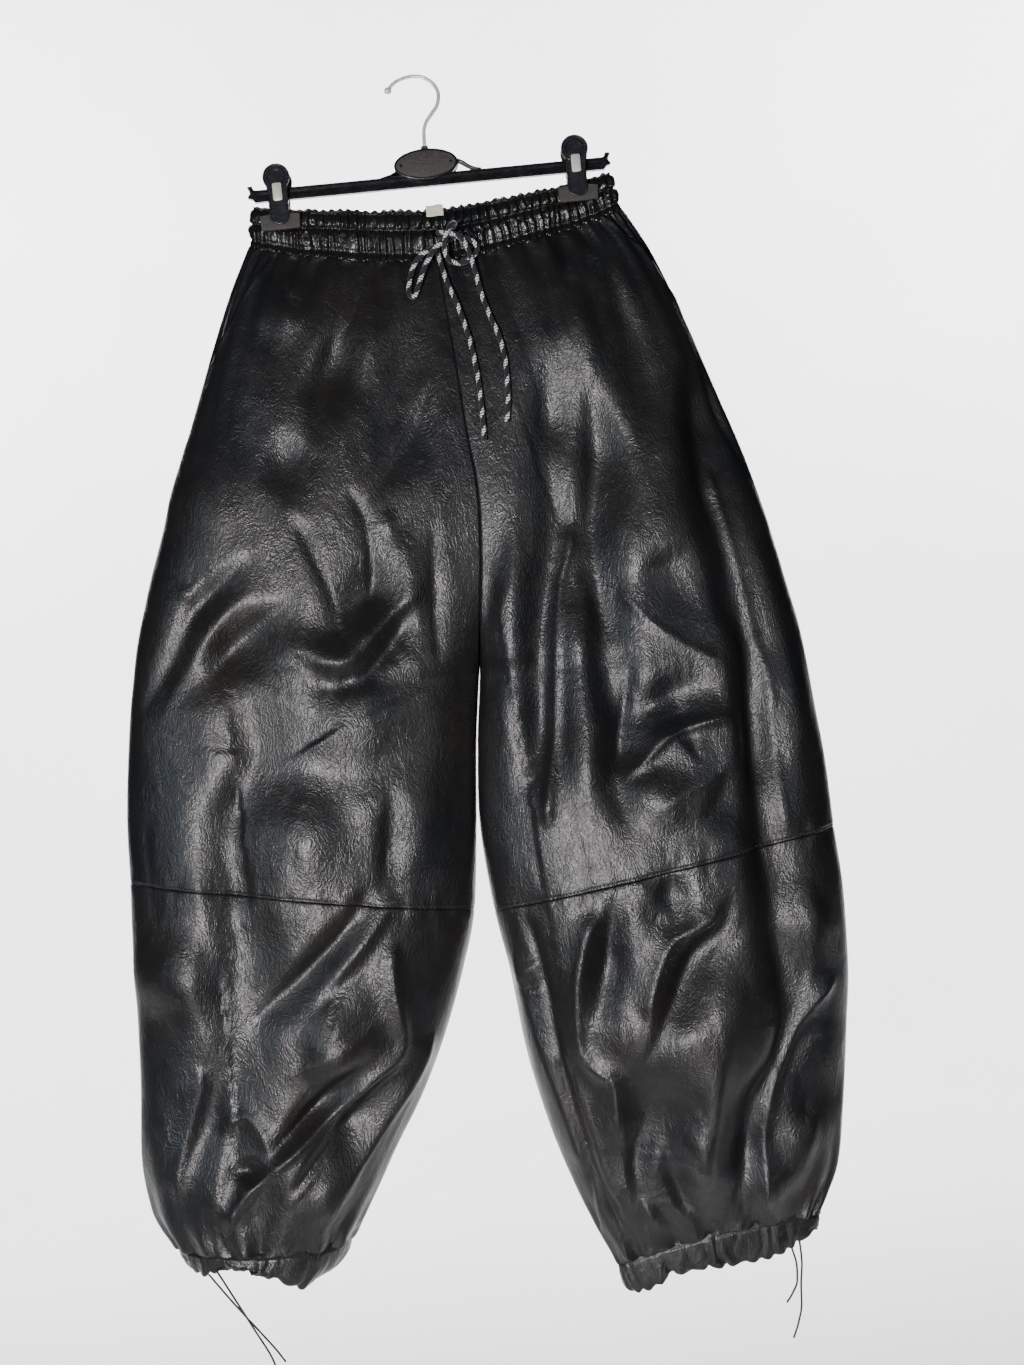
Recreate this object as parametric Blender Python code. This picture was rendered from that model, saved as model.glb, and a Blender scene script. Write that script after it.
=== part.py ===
"""Faux leather balloon joggers hanging from a clip hanger.

Tables below are in millimetres, in the garment's own frame: +X to the viewer's right, -Y towards
the viewer, +Z up, zero at the underside of the hook's crown. Objects are built in metres.
The trousers are one soft form with a left and a right half. A place on it is (half, face, turn, row):
turn runs from 0 at the centre seam or inseam to 1 at the side seam, on the front and on the back face,
and row runs down the garment: -1 waist edge, 0 waist seam, 1 knee seam, 2 hem seam, 2.1 hem edge.
"""
import math

import bmesh
import bpy
import numpy as np

MM = 0.001

# ---- cloth ----
WALL = 1.5
HEM_WALL = 2.6
SEAM_GAP = 0.2
ROW_GAP = 0.3
BAND_GATHERS = 43
COLUMNS_PER_GATHER = 3
HEM_GATHERS = {"left": 22, "right": 24}
UPPER_COLUMNS = 20
UPPER_ROWS = 16
LOWER_COLUMNS = 18
LOWER_ROWS = 11
KNEE_ROW = 1.0
HEM_ROW = 2.0
EDGE_ROW = 2.1

# ---- sections of each half, one line a row of the form ----
# row, outer x, outer z, inner x, inner z, sag power, seam half depth, front fullness, back fullness, shift y
SECTIONS = {
    "left": (
        (-1.00, -158, -103, 8, -124, 1.5, 14, 1, 1, 0),
        (-0.60, -161, -118, 8, -142, 1.5, 15, 2, 2, 0),
        (0.00, -164, -138, 8, -170, 1.8, 15, 3, 4, 0),
        (0.06, -184, -178, 10, -205, 1.6, 20, 8, 10, 0),
        (0.16, -212, -245, 15, -265, 1.3, 27, 13, 17, 1),
        (0.28, -238, -315, 19, -330, 1.2, 32, 17, 22, 3),
        (0.39, -263, -380, 24, -390, 1.1, 34, 21, 27, 4),
        (0.49, -285, -440, 21, -447, 1.0, 31, 27, 33, 4),
        (0.59, -303, -500, 14, -505, 1.0, 22, 36, 41, 3),
        (0.64, -309, -530, 11, -535, 1.0, 12, 42, 46, 2),
        (0.675, -313, -551, 8, -557, 1.0, 0, 46, 49, 1),
        (0.77, -321, -606, 0, -616, 1.0, 0, 52, 54, 0),
        (0.89, -327, -663, -7, -690, 1.0, 0, 56, 56, -2),
        (1.00, -329, -711, -16, -765, 1.0, 0, 58, 57, -4),
        (1.16, -332, -765, -32, -820, 1.0, 0, 60, 58, -4),
        (1.34, -334, -835, -56, -882, 1.0, 0, 61, 58, -3),
        (1.52, -337, -905, -83, -936, 1.0, 0, 60, 58, -1),
        (1.68, -342, -965, -106, -973, 1.0, 0, 60, 58, 1),
        (1.84, -337, -1010, -131, -1016, 1.0, 0, 59, 58, 2),
        (2.00, -317, -1048, -158, -1058, 1.0, 0, 57, 57, 2),
        (2.10, -305, -1064, -187, -1082, 1.0, 0, 56, 56, 2),
    ),
    "right": (
        (-1.00, 174, -103, 8, -124, 1.5, 14, 1, 1, 0),
        (-0.60, 176, -117, 8, -142, 1.5, 15, 2, 2, 0),
        (0.00, 180, -136, 8, -170, 1.8, 15, 3, 4, 0),
        (0.06, 202, -177, 10, -205, 1.6, 20, 8, 10, 0),
        (0.16, 228, -245, 15, -265, 1.3, 27, 13, 17, 1),
        (0.28, 251, -315, 19, -330, 1.2, 32, 17, 22, 3),
        (0.39, 272, -380, 24, -390, 1.1, 34, 21, 27, 4),
        (0.49, 287, -440, 21, -447, 1.0, 31, 27, 33, 4),
        (0.59, 299, -500, 14, -505, 1.0, 22, 36, 41, 3),
        (0.64, 305, -530, 11, -535, 1.0, 12, 42, 46, 2),
        (0.675, 308, -551, 8.6, -557, 1.0, 0, 46, 49, 1),
        (0.77, 313, -606, 1, -616, 1.0, 0, 52, 54, 0),
        (0.89, 318, -663, -4, -690, 1.0, 0, 56, 56, -2),
        (1.00, 320, -721, 2, -768, 1.0, 0, 58, 57, -4),
        (1.16, 323, -780, 11, -825, 1.0, 0, 60, 58, -4),
        (1.34, 321, -848, 18, -893, 1.0, 0, 60, 58, -2),
        (1.52, 314, -905, 30, -955, 0.9, 0, 57, 55, 1),
        (1.68, 305, -972, 45, -1008, 0.8, 0, 50, 48, 4),
        (1.84, 295, -1028, 64, -1060, 0.6, 0, 38, 37, 7),
        (2.00, 273, -1076, 84, -1104, 0.45, 0, 27, 27, 9),
        (2.10, 268, -1090, 94, -1129, 0.45, 0, 23, 23, 10),
    ),
}
CROTCH_ROW = 0.675

# ---- lower edge of each hem as it hangs: x, z ----
HEM_EDGE = {
    "left": (
        (-306, -1063), (-290, -1067), (-275, -1061), (-262, -1058), (-246, -1061), (-236, -1069),
        (-225, -1071), (-214, -1080), (-201, -1088), (-187, -1082),
    ),
    "right": (
        (93, -1129), (110, -1128), (122, -1123), (128, -1113), (150, -1114), (166, -1111),
        (185, -1111), (205, -1110), (225, -1108), (240, -1103), (251, -1096), (268, -1089),
    ),
}

# ---- slash mouth of each pocket: x, z from the waist seam down to the side seam ----
SLASH = {
    "left": ((-139, -146), (-176, -192), (-184, -208), (-214, -250)),
    "right": ((163, -144), (194, -176), (206, -196), (222, -228)),
}
POCKET_ROW = 0.16
MOUTH_RISE = 1.0
MOUTH_LAP = 0.9

# ---- largest folds: half, face, width, rise, then x, z of the points along it ----
FOLDS = (
    ("left", "front", 15, -7, ((-312, -575), (-262, -495), (-228, -450), (-165, -421))),
    ("left", "front", 15, 7, ((-298, -575), (-255, -508), (-215, -472), (-172, -455))),
    ("left", "front", 18, -9, ((-262, -620), (-240, -540), (-205, -505), (-135, -474))),
    ("left", "front", 13, 10, ((-206, -532), (-168, -500), (-112, -521), (-62, -470), (-35, -435))),
    ("left", "front", 34, 7, ((-150, -540), (-128, -590), (-135, -640))),
    ("left", "front", 12, -5, ((-40, -465), (-78, -512), (-120, -575))),
    ("left", "front", 17, -6, ((-15, -560), (-70, -598), (-135, -642), (-172, -668))),
    ("left", "front", 22, 8, ((-40, -620), (-62, -680), (-78, -740))),
    ("left", "front", 12, -8, ((-90, -610), (-97, -690), (-118, -742), (-160, -775))),
    ("left", "front", 28, 6, ((-175, -685), (-160, -735))),
    ("left", "front", 16, -11, ((-200, -545), (-196, -600), (-225, -645), (-232, -740), (-262, -880),
                                (-288, -985))),
    ("left", "front", 20, 8, ((-262, -700), (-286, -770), (-290, -860))),
    ("left", "front", 18, 5, ((-178, -196), (-135, -206), (-104, -194))),
    ("left", "front", 15, -5, ((-84, -212), (-112, -258), (-145, -288))),
    ("left", "front", 12, -5, ((-8, -278), (-40, -342), (-72, -378), (-86, -470))),
    ("left", "front", 30, 6, ((-212, -290), (-222, -370), (-262, -450))),
    ("left", "front", 14, -5, ((-150, -300), (-148, -390), (-128, -440))),
    ("left", "front", 14, 5, ((-66, -390), (-45, -440), (-38, -520))),
    ("left", "front", 12, 9, ((-170, -826), (-130, -786), (-92, -758))),
    ("left", "front", 16, -9, ((-232, -850), (-195, -808), (-150, -772), (-118, -748))),
    ("left", "front", 30, 9, ((-195, -868), (-150, -882), (-160, -925))),
    ("left", "front", 12, 11, ((-268, -1022), (-238, -1004), (-188, -964), (-140, -925), (-96, -893),
                               (-94, -850), (-90, -800))),
    ("left", "front", 14, -8, ((-228, -982), (-198, -950), (-150, -912), (-106, -882))),
    ("left", "front", 12, -7, ((-224, -1024), (-188, -985), (-138, -945), (-86, -892))),
    ("left", "front", 12, 7, ((-188, -1048), (-148, -1002), (-112, -950), (-66, -870), (-44, -800))),
    ("left", "front", 12, 6, ((-272, -955), (-246, -936), (-226, -975))),
    ("left", "front", 12, 7, ((-284, -882), (-290, -925), (-316, -1005))),
    ("right", "front", 14, -8, ((95, -330), (88, -420), (78, -530), (62, -610), (60, -690))),
    ("right", "front", 16, 6, ((46, -400), (44, -500), (34, -610), (40, -690))),
    ("right", "front", 15, 7, ((108, -350), (108, -430), (98, -520), (92, -640), (78, -735))),
    ("right", "front", 14, -9, ((134, -200), (140, -300), (134, -400), (108, -530), (124, -615),
                                (128, -690), (118, -765))),
    ("right", "front", 26, 6, ((165, -175), (174, -280), (172, -400), (158, -490))),
    ("right", "front", 12, 7, ((132, -654), (162, -634), (192, -612), (232, -612))),
    ("right", "front", 13, -5, ((150, -668), (188, -642), (226, -634))),
    ("right", "front", 20, -4, ((152, -602), (200, -582), (236, -592))),
    ("right", "front", 12, 6, ((240, -560), (249, -630), (243, -735))),
    ("right", "front", 15, -11, ((208, -240), (222, -350), (250, -470), (266, -570), (264, -720),
                                 (248, -840), (234, -950), (196, -1062))),
    ("right", "front", 14, 6, ((228, -270), (252, -400), (280, -530), (288, -690))),
    ("right", "front", 14, -10, ((116, -775), (104, -825), (84, -890), (112, -945), (118, -990),
                                 (106, -1060))),
    ("right", "front", 12, 7, ((72, -850), (66, -905), (92, -938), (96, -1025))),
    ("right", "front", 14, -9, ((214, -762), (198, -802), (162, -860), (134, -935))),
    ("right", "front", 13, 6, ((130, -830), (156, -800), (192, -798))),
    ("right", "front", 32, 9, ((192, -850), (182, -920), (168, -1000))),
    ("right", "front", 12, 8, ((288, -775), (302, -835), (300, -872), (262, -925))),
    ("right", "front", 16, 7, ((262, -940), (246, -985), (238, -1040))),
    ("right", "front", 12, 6, ((56, -960), (72, -1025), (92, -1095))),
    ("left", "back", 18, -8, ((-60, -200), (-92, -330), (-150, -440), (-240, -520))),
    ("left", "back", 18, 8, ((-35, -230), (-58, -340), (-110, -450), (-200, -545))),
    ("left", "back", 20, -9, ((-120, -560), (-170, -640), (-190, -760), (-215, -900), (-240, -1010))),
    ("left", "back", 18, 9, ((-85, -580), (-118, -660), (-135, -780), (-150, -880))),
    ("left", "back", 16, 7, ((-225, -560), (-250, -650), (-262, -760), (-280, -880))),
    ("left", "back", 14, 9, ((-250, -1020), (-200, -960), (-130, -905), (-80, -850))),
    ("left", "back", 14, -8, ((-225, -1025), (-180, -985), (-125, -935))),
    ("left", "back", 15, -6, ((-205, -230), (-215, -330), (-240, -430))),
    ("left", "back", 16, -6, ((-30, -590), (-48, -680), (-52, -780))),
    ("right", "back", 18, -8, ((70, -200), (100, -320), (150, -430), (228, -520))),
    ("right", "back", 18, 8, ((45, -225), (72, -350), (118, -460), (190, -560))),
    ("right", "back", 18, -10, ((120, -560), (150, -650), (160, -770), (150, -900), (140, -1040))),
    ("right", "back", 18, 9, ((88, -590), (104, -690), (110, -800), (98, -920), (110, -1040))),
    ("right", "back", 20, 8, ((205, -600), (215, -720), (208, -850), (196, -980))),
    ("right", "back", 14, -8, ((262, -640), (258, -760), (240, -880), (222, -1000))),
    ("right", "back", 13, 7, ((150, -815), (205, -790), (262, -800))),
    ("right", "back", 15, -6, ((212, -240), (226, -330), (246, -440))),
)

# ---- soft gathers let out below the waist seam and above the hem seam ----
LET_OUT_FOLDS = 8.5
LET_OUT_RISE = 2.2
LET_OUT_FADE = 0.09
HEM_LET_OUT_FOLDS = 7.5
HEM_LET_OUT_RISE = 3.0
HEM_LET_OUT_FADE = 0.16

# ---- waistband ----
BAND_ROWS = (-0.985, -0.60, -0.008)
BAND_RISE = (1.3, 0.6, 1.5)
CLIP_X = (-132.6, 141.6)
CLIP_HALF_WIDTH = 27
CLIP_PINCH = 0.66

# ---- hanger ----
HANGER_X = 5.0
BAR_LEFT, BAR_RIGHT = -161.0, 174.0
BAR_TOP, BAR_BOTTOM = -89.5, -100.5
BAR_HALF_DEPTH = 4.0
PAD_HALF_WIDTH, PAD_HALF_HEIGHT, PAD_Z, PAD_THICK = 29.5, 14.2, -81.0, 4.0
HOOK_WIRE = 3.5
HOOK_BALL = 3.4
HOOK_ROUTE = (
    (-25.2, -12.2), (-22.8, -8.2), (-18.4, -3.6), (-12.0, -0.2), (-5.0, 1.5), (0.0, 1.75), (7.0, 1.0),
    (14.5, -3.0), (20.0, -9.2), (22.4, -17.0), (20.6, -25.5), (15.0, -33.5), (9.0, -41.0), (6.0, -49.0),
    (5.4, -55.0), (5.2, -62.6),
)
TONGUE_WIDTH, TONGUE_HEAD = 18.0, 25.0
TONGUE_TOP, TONGUE_BOTTOM = -68.5, -125.0
GRIP_WIDTH, GRIP_TOP, GRIP_BOTTOM = 37.0, -114.0, -129.0
GRIP_FACE, GRIP_THICK, TONGUE_THICK = 6.6, 3.4, 2.4
SADDLE_WIDTH, SADDLE_TOP, SADDLE_BOTTOM = 16.0, -76.0, -108.0
SPRING_WIDTH, SPRING_TOP, SPRING_BOTTOM, SPRING_THICK = 9.5, -87.0, -103.0, 0.9

# ---- label ----
LABEL_WIDTH, LABEL_DROP, LABEL_THICK, LABEL_X = 17.0, 10.5, 0.8, 9.0

# ---- cords ----
DRAWCORD_WIDTH = 4.6
HEM_CORD_WIDTH = 2.0
# x, y, z of the points that each drawcord passes through
CORD_ROUTES = {
    "drawstring_one": (
        (31, -18.6, -149.6), (26.5, -23.6, -153), (19, -25.0, -156.5), (9, -25.2, -161), (-4, -24.6, -166),
        (-14, -24.6, -176), (-20, -26.0, -192), (-21.5, -27.6, -202), (-17.5, -28.8, -206),
        (-12.5, -29.6, -198), (-7, -31.4, -185), (3, -33.8, -169), (14, -35.6, -158.5),
        (23, -36.1, -153.6), (31, -35.1, -158), (36.5, -32.3, -170), (40.5, -29.6, -188),
        (44, -29.4, -208), (50, -32.0, -230), (56.5, -34.8, -250), (60, -37.4, -275), (59.5, -39.4, -302),
        (56, -40.8, -329),
    ),
    "drawstring_two": (
        (10, -17.3, -147.2), (16, -25.4, -149.5), (22, -29.9, -153), (31, -29.9, -156.5),
        (41, -28.4, -160.5), (44.5, -26.2, -167), (39, -24.8, -174.5), (28.5, -24.4, -178.5),
        (18.5, -26.2, -175.5), (15.0, -35.2, -167.5), (16.6, -42.4, -158), (20.5, -43.2, -149.5),
        (25.2, -38.8, -144.6), (26.6, -31.0, -143.6), (23.5, -23.4, -145.5), (14.5, -20.1, -152.5),
        (8.2, -20.2, -163), (10.4, -23.6, -178), (14.6, -26.5, -196), (20.5, -28.5, -213),
        (27, -30.8, -237), (31.5, -33.2, -262), (34, -35.8, -290), (34.6, -37.8, -317), (34.4, -39.2, -343),
    ),
    "hem_cord_left_a": (
        (-285.0, -39.8, -1066.6), (-268, -41, -1090), (-245, -42, -1120), (-230, -42, -1140),
        (-223, -42, -1151),
    ),
    "hem_cord_left_b": (
        (-277, -45.2, -1061.9), (-263, -47, -1088), (-247, -49, -1118), (-232, -49, -1150),
        (-228, -48, -1172),
    ),
    "hem_cord_right_a": (
        (243.4, -8.6, -1101.7), (246.5, -8, -1118), (245.5, -9, -1132), (240, -10, -1143),
        (234, -10, -1151),
    ),
    "hem_cord_right_b": (
        (251.3, -6.8, -1096.5), (251, -13, -1112), (248, -15.5, -1134), (246.5, -16, -1153),
        (242, -16, -1169), (236.5, -16, -1182),
    ),
}


# ------------------------------------------------------------------ the form

def curve_through(rows, values, wanted):
    """Smooth curve through the table's values, read at the wanted rows."""
    rows = np.asarray(rows, float)
    values = np.asarray(values, float)
    span = np.diff(rows)
    rate = np.diff(values) / span
    before = rate[:-1]
    after = rate[1:]
    same_way = before * after > 0
    heavy = 2 * span[1:] + span[:-1]
    light = span[1:] + 2 * span[:-1]
    safe_before = np.where(same_way, before, 1.0)
    safe_after = np.where(same_way, after, 1.0)
    middle = (heavy + light) / (heavy / safe_before + light / safe_after)
    slope = np.concatenate([rate[:1], np.where(same_way, middle, 0.0), rate[-1:]])
    wanted = np.clip(np.asarray(wanted, float), rows[0], rows[-1])
    k = np.clip(np.searchsorted(rows, wanted, side="right") - 1, 0, len(rows) - 2)
    span = rows[k + 1] - rows[k]
    t = (wanted - rows[k]) / span
    a = values[k]
    b = values[k + 1]
    flat_a = slope[k] * span
    flat_b = slope[k + 1] * span
    return (a * (2 * t**3 - 3 * t**2 + 1) + b * (3 * t**2 - 2 * t**3)
            + flat_a * (t**3 - 2 * t**2 + t) + flat_b * (t**3 - t**2))


def ease(t):
    """Goes from 0 to 1 with no kink at either end."""
    t = np.clip(t, 0.0, 1.0)
    return t * t * (3 - 2 * t)


def bare_form(half, face, turn, row):
    """Points of the smooth form with no folds, in millimetres."""
    table = np.array(SECTIONS[half], float)
    turn = np.clip(turn, 0.0, 1.0)
    read = [curve_through(table[:, 0], table[:, c], row) for c in range(1, 10)]
    outer_x, outer_z, inner_x, inner_z, sag, seam, front, back, shift = read
    seam = np.maximum(seam, 0.0)
    seam = np.where(row >= CROTCH_ROW, 0.0, seam)
    leg = ease((row - 0.45) / (CROTCH_ROW - 0.45))
    across = (1 - leg) * np.sin(turn * math.pi / 2) + leg * (1 - np.cos(turn * math.pi)) / 2
    x = inner_x + (outer_x - inner_x) * across
    hollow = np.power(np.maximum(across, 1e-9), np.maximum(sag, 1.0))
    arched = 1 - np.power(np.maximum(1 - across, 1e-9), 1 / np.minimum(sag, 1.0))
    level = inner_z + (outer_z - inner_z) * np.where(sag < 1, arched, hollow)
    edge = np.array(HEM_EDGE[half], float)
    drop = np.clip((row - HEM_ROW) / (EDGE_ROW - HEM_ROW), 0.0, 1.0)
    level = level * (1 - drop) + np.interp(x, edge[:, 0], edge[:, 1]) * drop
    side = -1.0 if face == "front" else 1.0
    fullness = front if face == "front" else back
    depth = seam * np.cos(turn * math.pi / 2) + fullness * np.sin(turn * math.pi)
    for clip in CLIP_X:
        near = np.exp(-((x - clip) / CLIP_HALF_WIDTH) ** 4)
        depth = depth * (1 - CLIP_PINCH * near * (1 - ease(row / 0.09)))
    y = side * depth + shift * np.sin(turn * math.pi)
    return np.stack([x, y, level], axis=-1)


def distance_to_line(x, z, line):
    """Shortest way from each place to the line, and how far along the line that is, 0 to 1."""
    line = np.asarray(line, float)
    steps = np.hypot(np.diff(line[:, 0]), np.diff(line[:, 1]))
    start = np.concatenate([[0], np.cumsum(steps)])
    best = np.full(x.shape, 1e9)
    along = np.zeros(x.shape)
    for k in range(len(steps)):
        dx = line[k + 1, 0] - line[k, 0]
        dz = line[k + 1, 1] - line[k, 1]
        t = ((x - line[k, 0]) * dx + (z - line[k, 1]) * dz) / (steps[k] ** 2)
        t = np.clip(t, 0, 1)
        away = np.hypot(x - line[k, 0] - t * dx, z - line[k, 1] - t * dz)
        nearer = away < best
        best = np.where(nearer, away, best)
        along = np.where(nearer, (start[k] + t * steps[k]) / start[-1], along)
    return best, along


def fold_rise(half, face, turn, row):
    """How far the folds lift the cloth at each place, in millimetres; none at the long seams."""
    place = bare_form(half, face, turn, row)
    x = place[..., 0]
    z = place[..., 2]
    rise = np.zeros(x.shape)
    for fold_half, fold_face, width, height, line in FOLDS:
        if fold_half == half and fold_face == face:
            away, along = distance_to_line(x, z, line)
            ends = ease(along / 0.12) * ease((1 - along) / 0.12) * 0.7 + 0.3
            rise = rise + height * ends * np.exp(-((away / width) ** 2))
    below_band = np.exp(-(np.maximum(row, 0) / LET_OUT_FADE)) * ease(row / 0.015)
    phase = 0.7 if face == "front" else 2.1
    rise = rise + LET_OUT_RISE * below_band * np.sin(2 * math.pi * LET_OUT_FOLDS * turn + phase)
    above_hem = np.exp(-(np.maximum(HEM_ROW - row, 0) / HEM_LET_OUT_FADE)) * ease((HEM_ROW - row) / 0.03)
    above_hem = above_hem * (row > KNEE_ROW)
    rise = rise + HEM_LET_OUT_RISE * above_hem * np.sin(2 * math.pi * HEM_LET_OUT_FOLDS * turn + phase)
    edge = ease(turn / 0.10) * ease((1 - turn) / 0.08)
    in_cloth = ease(row / 0.02) * ease((HEM_ROW + 0.02 - row) / 0.04)
    return rise * edge * in_cloth


def outward(half, face, turn, row, place):
    """Unit directions out of the form, from small steps along the turn and the row."""
    step = 1e-3
    turn_a = np.clip(turn - step, 0, 1)
    turn_b = np.clip(turn + step, 0, 1)
    along_turn = place(half, face, turn_b, row) - place(half, face, turn_a, row)
    row_a = row - step
    row_b = row + step
    along_row = place(half, face, turn, row_b) - place(half, face, turn, row_a)
    normal = np.cross(along_turn, along_row)
    normal /= np.maximum(np.linalg.norm(normal, axis=-1, keepdims=True), 1e-12)
    flip = -1.0 if (half == "right") != (face == "back") else 1.0
    return flip * normal


def folded_form(half, face, turn, row):
    """Points of the form with its folds."""
    base = bare_form(half, face, turn, row)
    normal = outward(half, face, turn, row, bare_form)
    return base + normal * fold_rise(half, face, turn, row)[..., None]


def even_turns(half, face, rows, shares, ends=None):
    """Turns that share out the length of each row's section evenly, one line of turns a row."""
    fine = np.linspace(0, 1, 121)
    turns = np.empty((len(rows), len(shares)))
    for k, row in enumerate(rows):
        line = bare_form(half, face, fine, np.full(fine.shape, row))
        length = np.concatenate([[0], np.cumsum(np.linalg.norm(np.diff(line, axis=0), axis=1))])
        last = 1.0 if ends is None else ends[k]
        turns[k] = np.interp(np.asarray(shares) * last * length[-1], length, fine)
    return turns


# ------------------------------------------------------------------ solids

def new_object(name, verts, faces, material, smooth=True):
    """One object in metres from points in millimetres."""
    mesh = bpy.data.meshes.new(name)
    mesh.from_pydata([tuple(float(c) * MM for c in v) for v in verts], [], faces)
    mesh.update()
    work = bmesh.new()
    work.from_mesh(mesh)
    bmesh.ops.recalc_face_normals(work, faces=work.faces)
    work.to_mesh(mesh)
    work.free()
    for face in mesh.polygons:
        face.use_smooth = smooth
    thing = bpy.data.objects.new(name, mesh)
    bpy.context.scene.collection.objects.link(thing)
    thing.data.materials.append(material)
    return thing


def pull_in(grid):
    """Moves the grid's border lines inwards a little, to leave room for the next piece."""
    grid = grid.copy()
    for edge, inner in ((0, 1), (-1, -2)):
        way = grid[:, inner] - grid[:, edge]
        way /= np.maximum(np.linalg.norm(way, axis=-1, keepdims=True), 1e-9)
        grid[:, edge] += way * SEAM_GAP
        way = grid[inner] - grid[edge]
        way /= np.maximum(np.linalg.norm(way, axis=-1, keepdims=True), 1e-9)
        grid[edge] += way * ROW_GAP
    return grid


def cloth_solid(name, outer, inner, material, closed=False):
    """A closed wall between two grids of points; closed joins the last column to the first."""
    count_r, count_c = outer.shape[:2]
    verts = np.concatenate([outer.reshape(-1, 3), inner.reshape(-1, 3)])
    shift = count_r * count_c
    faces = []
    span = count_c if closed else count_c - 1
    for r in range(count_r - 1):
        for c in range(span):
            d = (c + 1) % count_c
            a, b, e, f = r * count_c + c, r * count_c + d, (r + 1) * count_c + d, (r + 1) * count_c + c
            faces.append((a, b, e, f))
            faces.append((a + shift, f + shift, e + shift, b + shift))
    for c in range(span):
        d = (c + 1) % count_c
        faces.append((c, c + shift, d + shift, d))
        last = (count_r - 1) * count_c
        faces.append((last + c, last + d, last + d + shift, last + c + shift))
    if not closed:
        for r in range(count_r - 1):
            a, b = r * count_c, (r + 1) * count_c
            faces.append((a, b, b + shift, a + shift))
            a, b = a + count_c - 1, b + count_c - 1
            faces.append((a, a + shift, b + shift, b))
    return new_object(name, verts, faces, material)


def panel(name, half, face, rows, columns, material, ends=None, lift=None):
    """A leg panel: a wall on the folded form between its seams."""
    rows = np.asarray(rows, float)
    turn = even_turns(half, face, rows, np.linspace(0, 1, columns + 1), ends)
    row = np.repeat(rows[:, None], columns + 1, axis=1)
    outer = folded_form(half, face, turn, row)
    normal = outward(half, face, turn, row, folded_form)
    if lift is not None:
        outer = outer + normal * lift[..., None]
    inner = outer - normal * WALL
    return cloth_solid(name, pull_in(outer), pull_in(inner), material)


def slash_share(half, rows):
    """Share of the front section's length at which the pocket mouth crosses each row."""
    line = np.array(SLASH[half], float)
    order = np.argsort(line[:, 1])
    fine = np.linspace(0, 1, 121)
    shares = []
    for row in rows:
        points = bare_form(half, "front", fine, np.full(fine.shape, row))
        mouth = np.interp(points[:, 2], line[order, 1], line[order, 0])
        past = (points[:, 0] - mouth) * (-1 if half == "left" else 1)
        length = np.concatenate([[0], np.cumsum(np.linalg.norm(np.diff(points, axis=0), axis=1))])
        below = points[:, 2] < line[:, 1].min()
        past = np.where(below, -1.0, past)
        where = np.nonzero(past > 0)[0]
        share = 1.0 if len(where) == 0 else length[max(where[0] - 1, 0)] / length[-1]
        shares.append(min(share, 0.985))
    return np.array(shares)


def front_upper(half, material):
    """Front panel above the knee, cut away at the pocket mouth, and the pocket's side piece."""
    rows = np.concatenate([np.linspace(0, POCKET_ROW, 6), np.linspace(POCKET_ROW, KNEE_ROW, UPPER_ROWS - 4)[1:]])
    ends = np.ones(len(rows))
    ends[:6] = slash_share(half, rows[:6])
    lift = np.zeros((len(rows), UPPER_COLUMNS + 1))
    lift[:6, -2:] = MOUTH_RISE
    panel("front_upper_" + half, half, "front", rows, UPPER_COLUMNS, material, ends, lift)
    lap_start = ends[:6] * (UPPER_COLUMNS - 1) / UPPER_COLUMNS
    shares = np.stack([lap_start, ends[:6], ends[:6] * 0.5 + 0.5, np.ones(6)], axis=1)
    turn = np.stack([even_turns(half, "front", [rows[k]], shares[k])[0] for k in range(6)])
    row = np.repeat(rows[:6, None], 4, axis=1)
    outer = folded_form(half, "front", turn, row)
    normal = outward(half, "front", turn, row, folded_form)
    outer[:, :2] -= normal[:, :2] * MOUTH_LAP
    inner = outer - normal * WALL
    name = "pocket_side_" + half
    cloth_solid(name, pull_in(outer), pull_in(inner), material)


def band(face, material):
    """Half of the shirred waistband, side seam to side seam, pleated by its elastic channels."""
    columns = BAND_GATHERS * COLUMNS_PER_GATHER
    rows = np.array(BAND_ROWS)
    grids = []
    for half in ("left", "right"):
        length = abs(SECTIONS[half][0][1] - 8)
        count = int(round(columns * length / 332.0))
        turn = even_turns(half, face, rows, np.linspace(0, 1, count + 1))
        row = np.repeat(rows[:, None], count + 1, axis=1)
        outer = bare_form(half, face, turn, row)
        normal = outward(half, face, turn, row, bare_form)
        if half == "left":
            outer, normal = outer[:, ::-1], normal[:, ::-1]
            grids.append((outer[:, :-1], normal[:, :-1]))
        else:
            normal[:, 0] = (0, -1 if face == "front" else 1, 0)
            grids.append((outer, normal))
    outer = np.concatenate([g[0] for g in grids], axis=1)
    normal = np.concatenate([g[1] for g in grids], axis=1)
    number = np.arange(outer.shape[1])
    wave = np.array([1.0, -0.35, -0.75])[number % 3] * (1 + 0.25 * np.sin(number * 1.7))
    near_clip = sum(np.exp(-((outer[0, :, 0] - x) / CLIP_HALF_WIDTH) ** 4) for x in CLIP_X)
    ends = ease(number / 4.0) * ease((number[-1] - number) / 4.0)
    strength = (1 - 0.75 * near_clip) * ends
    rise = np.array(BAND_RISE)[:, None] * wave[None, :] * strength[None, :]
    outer = outer + normal * rise[..., None]
    inner = outer - normal * WALL
    side = -1 if face == "front" else 1
    for grid in (outer, inner):
        grid[..., 1] = side * np.maximum(side * grid[..., 1], SEAM_GAP)
    name = "waistband_" + face
    return cloth_solid(name, outer, inner, material)


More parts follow.
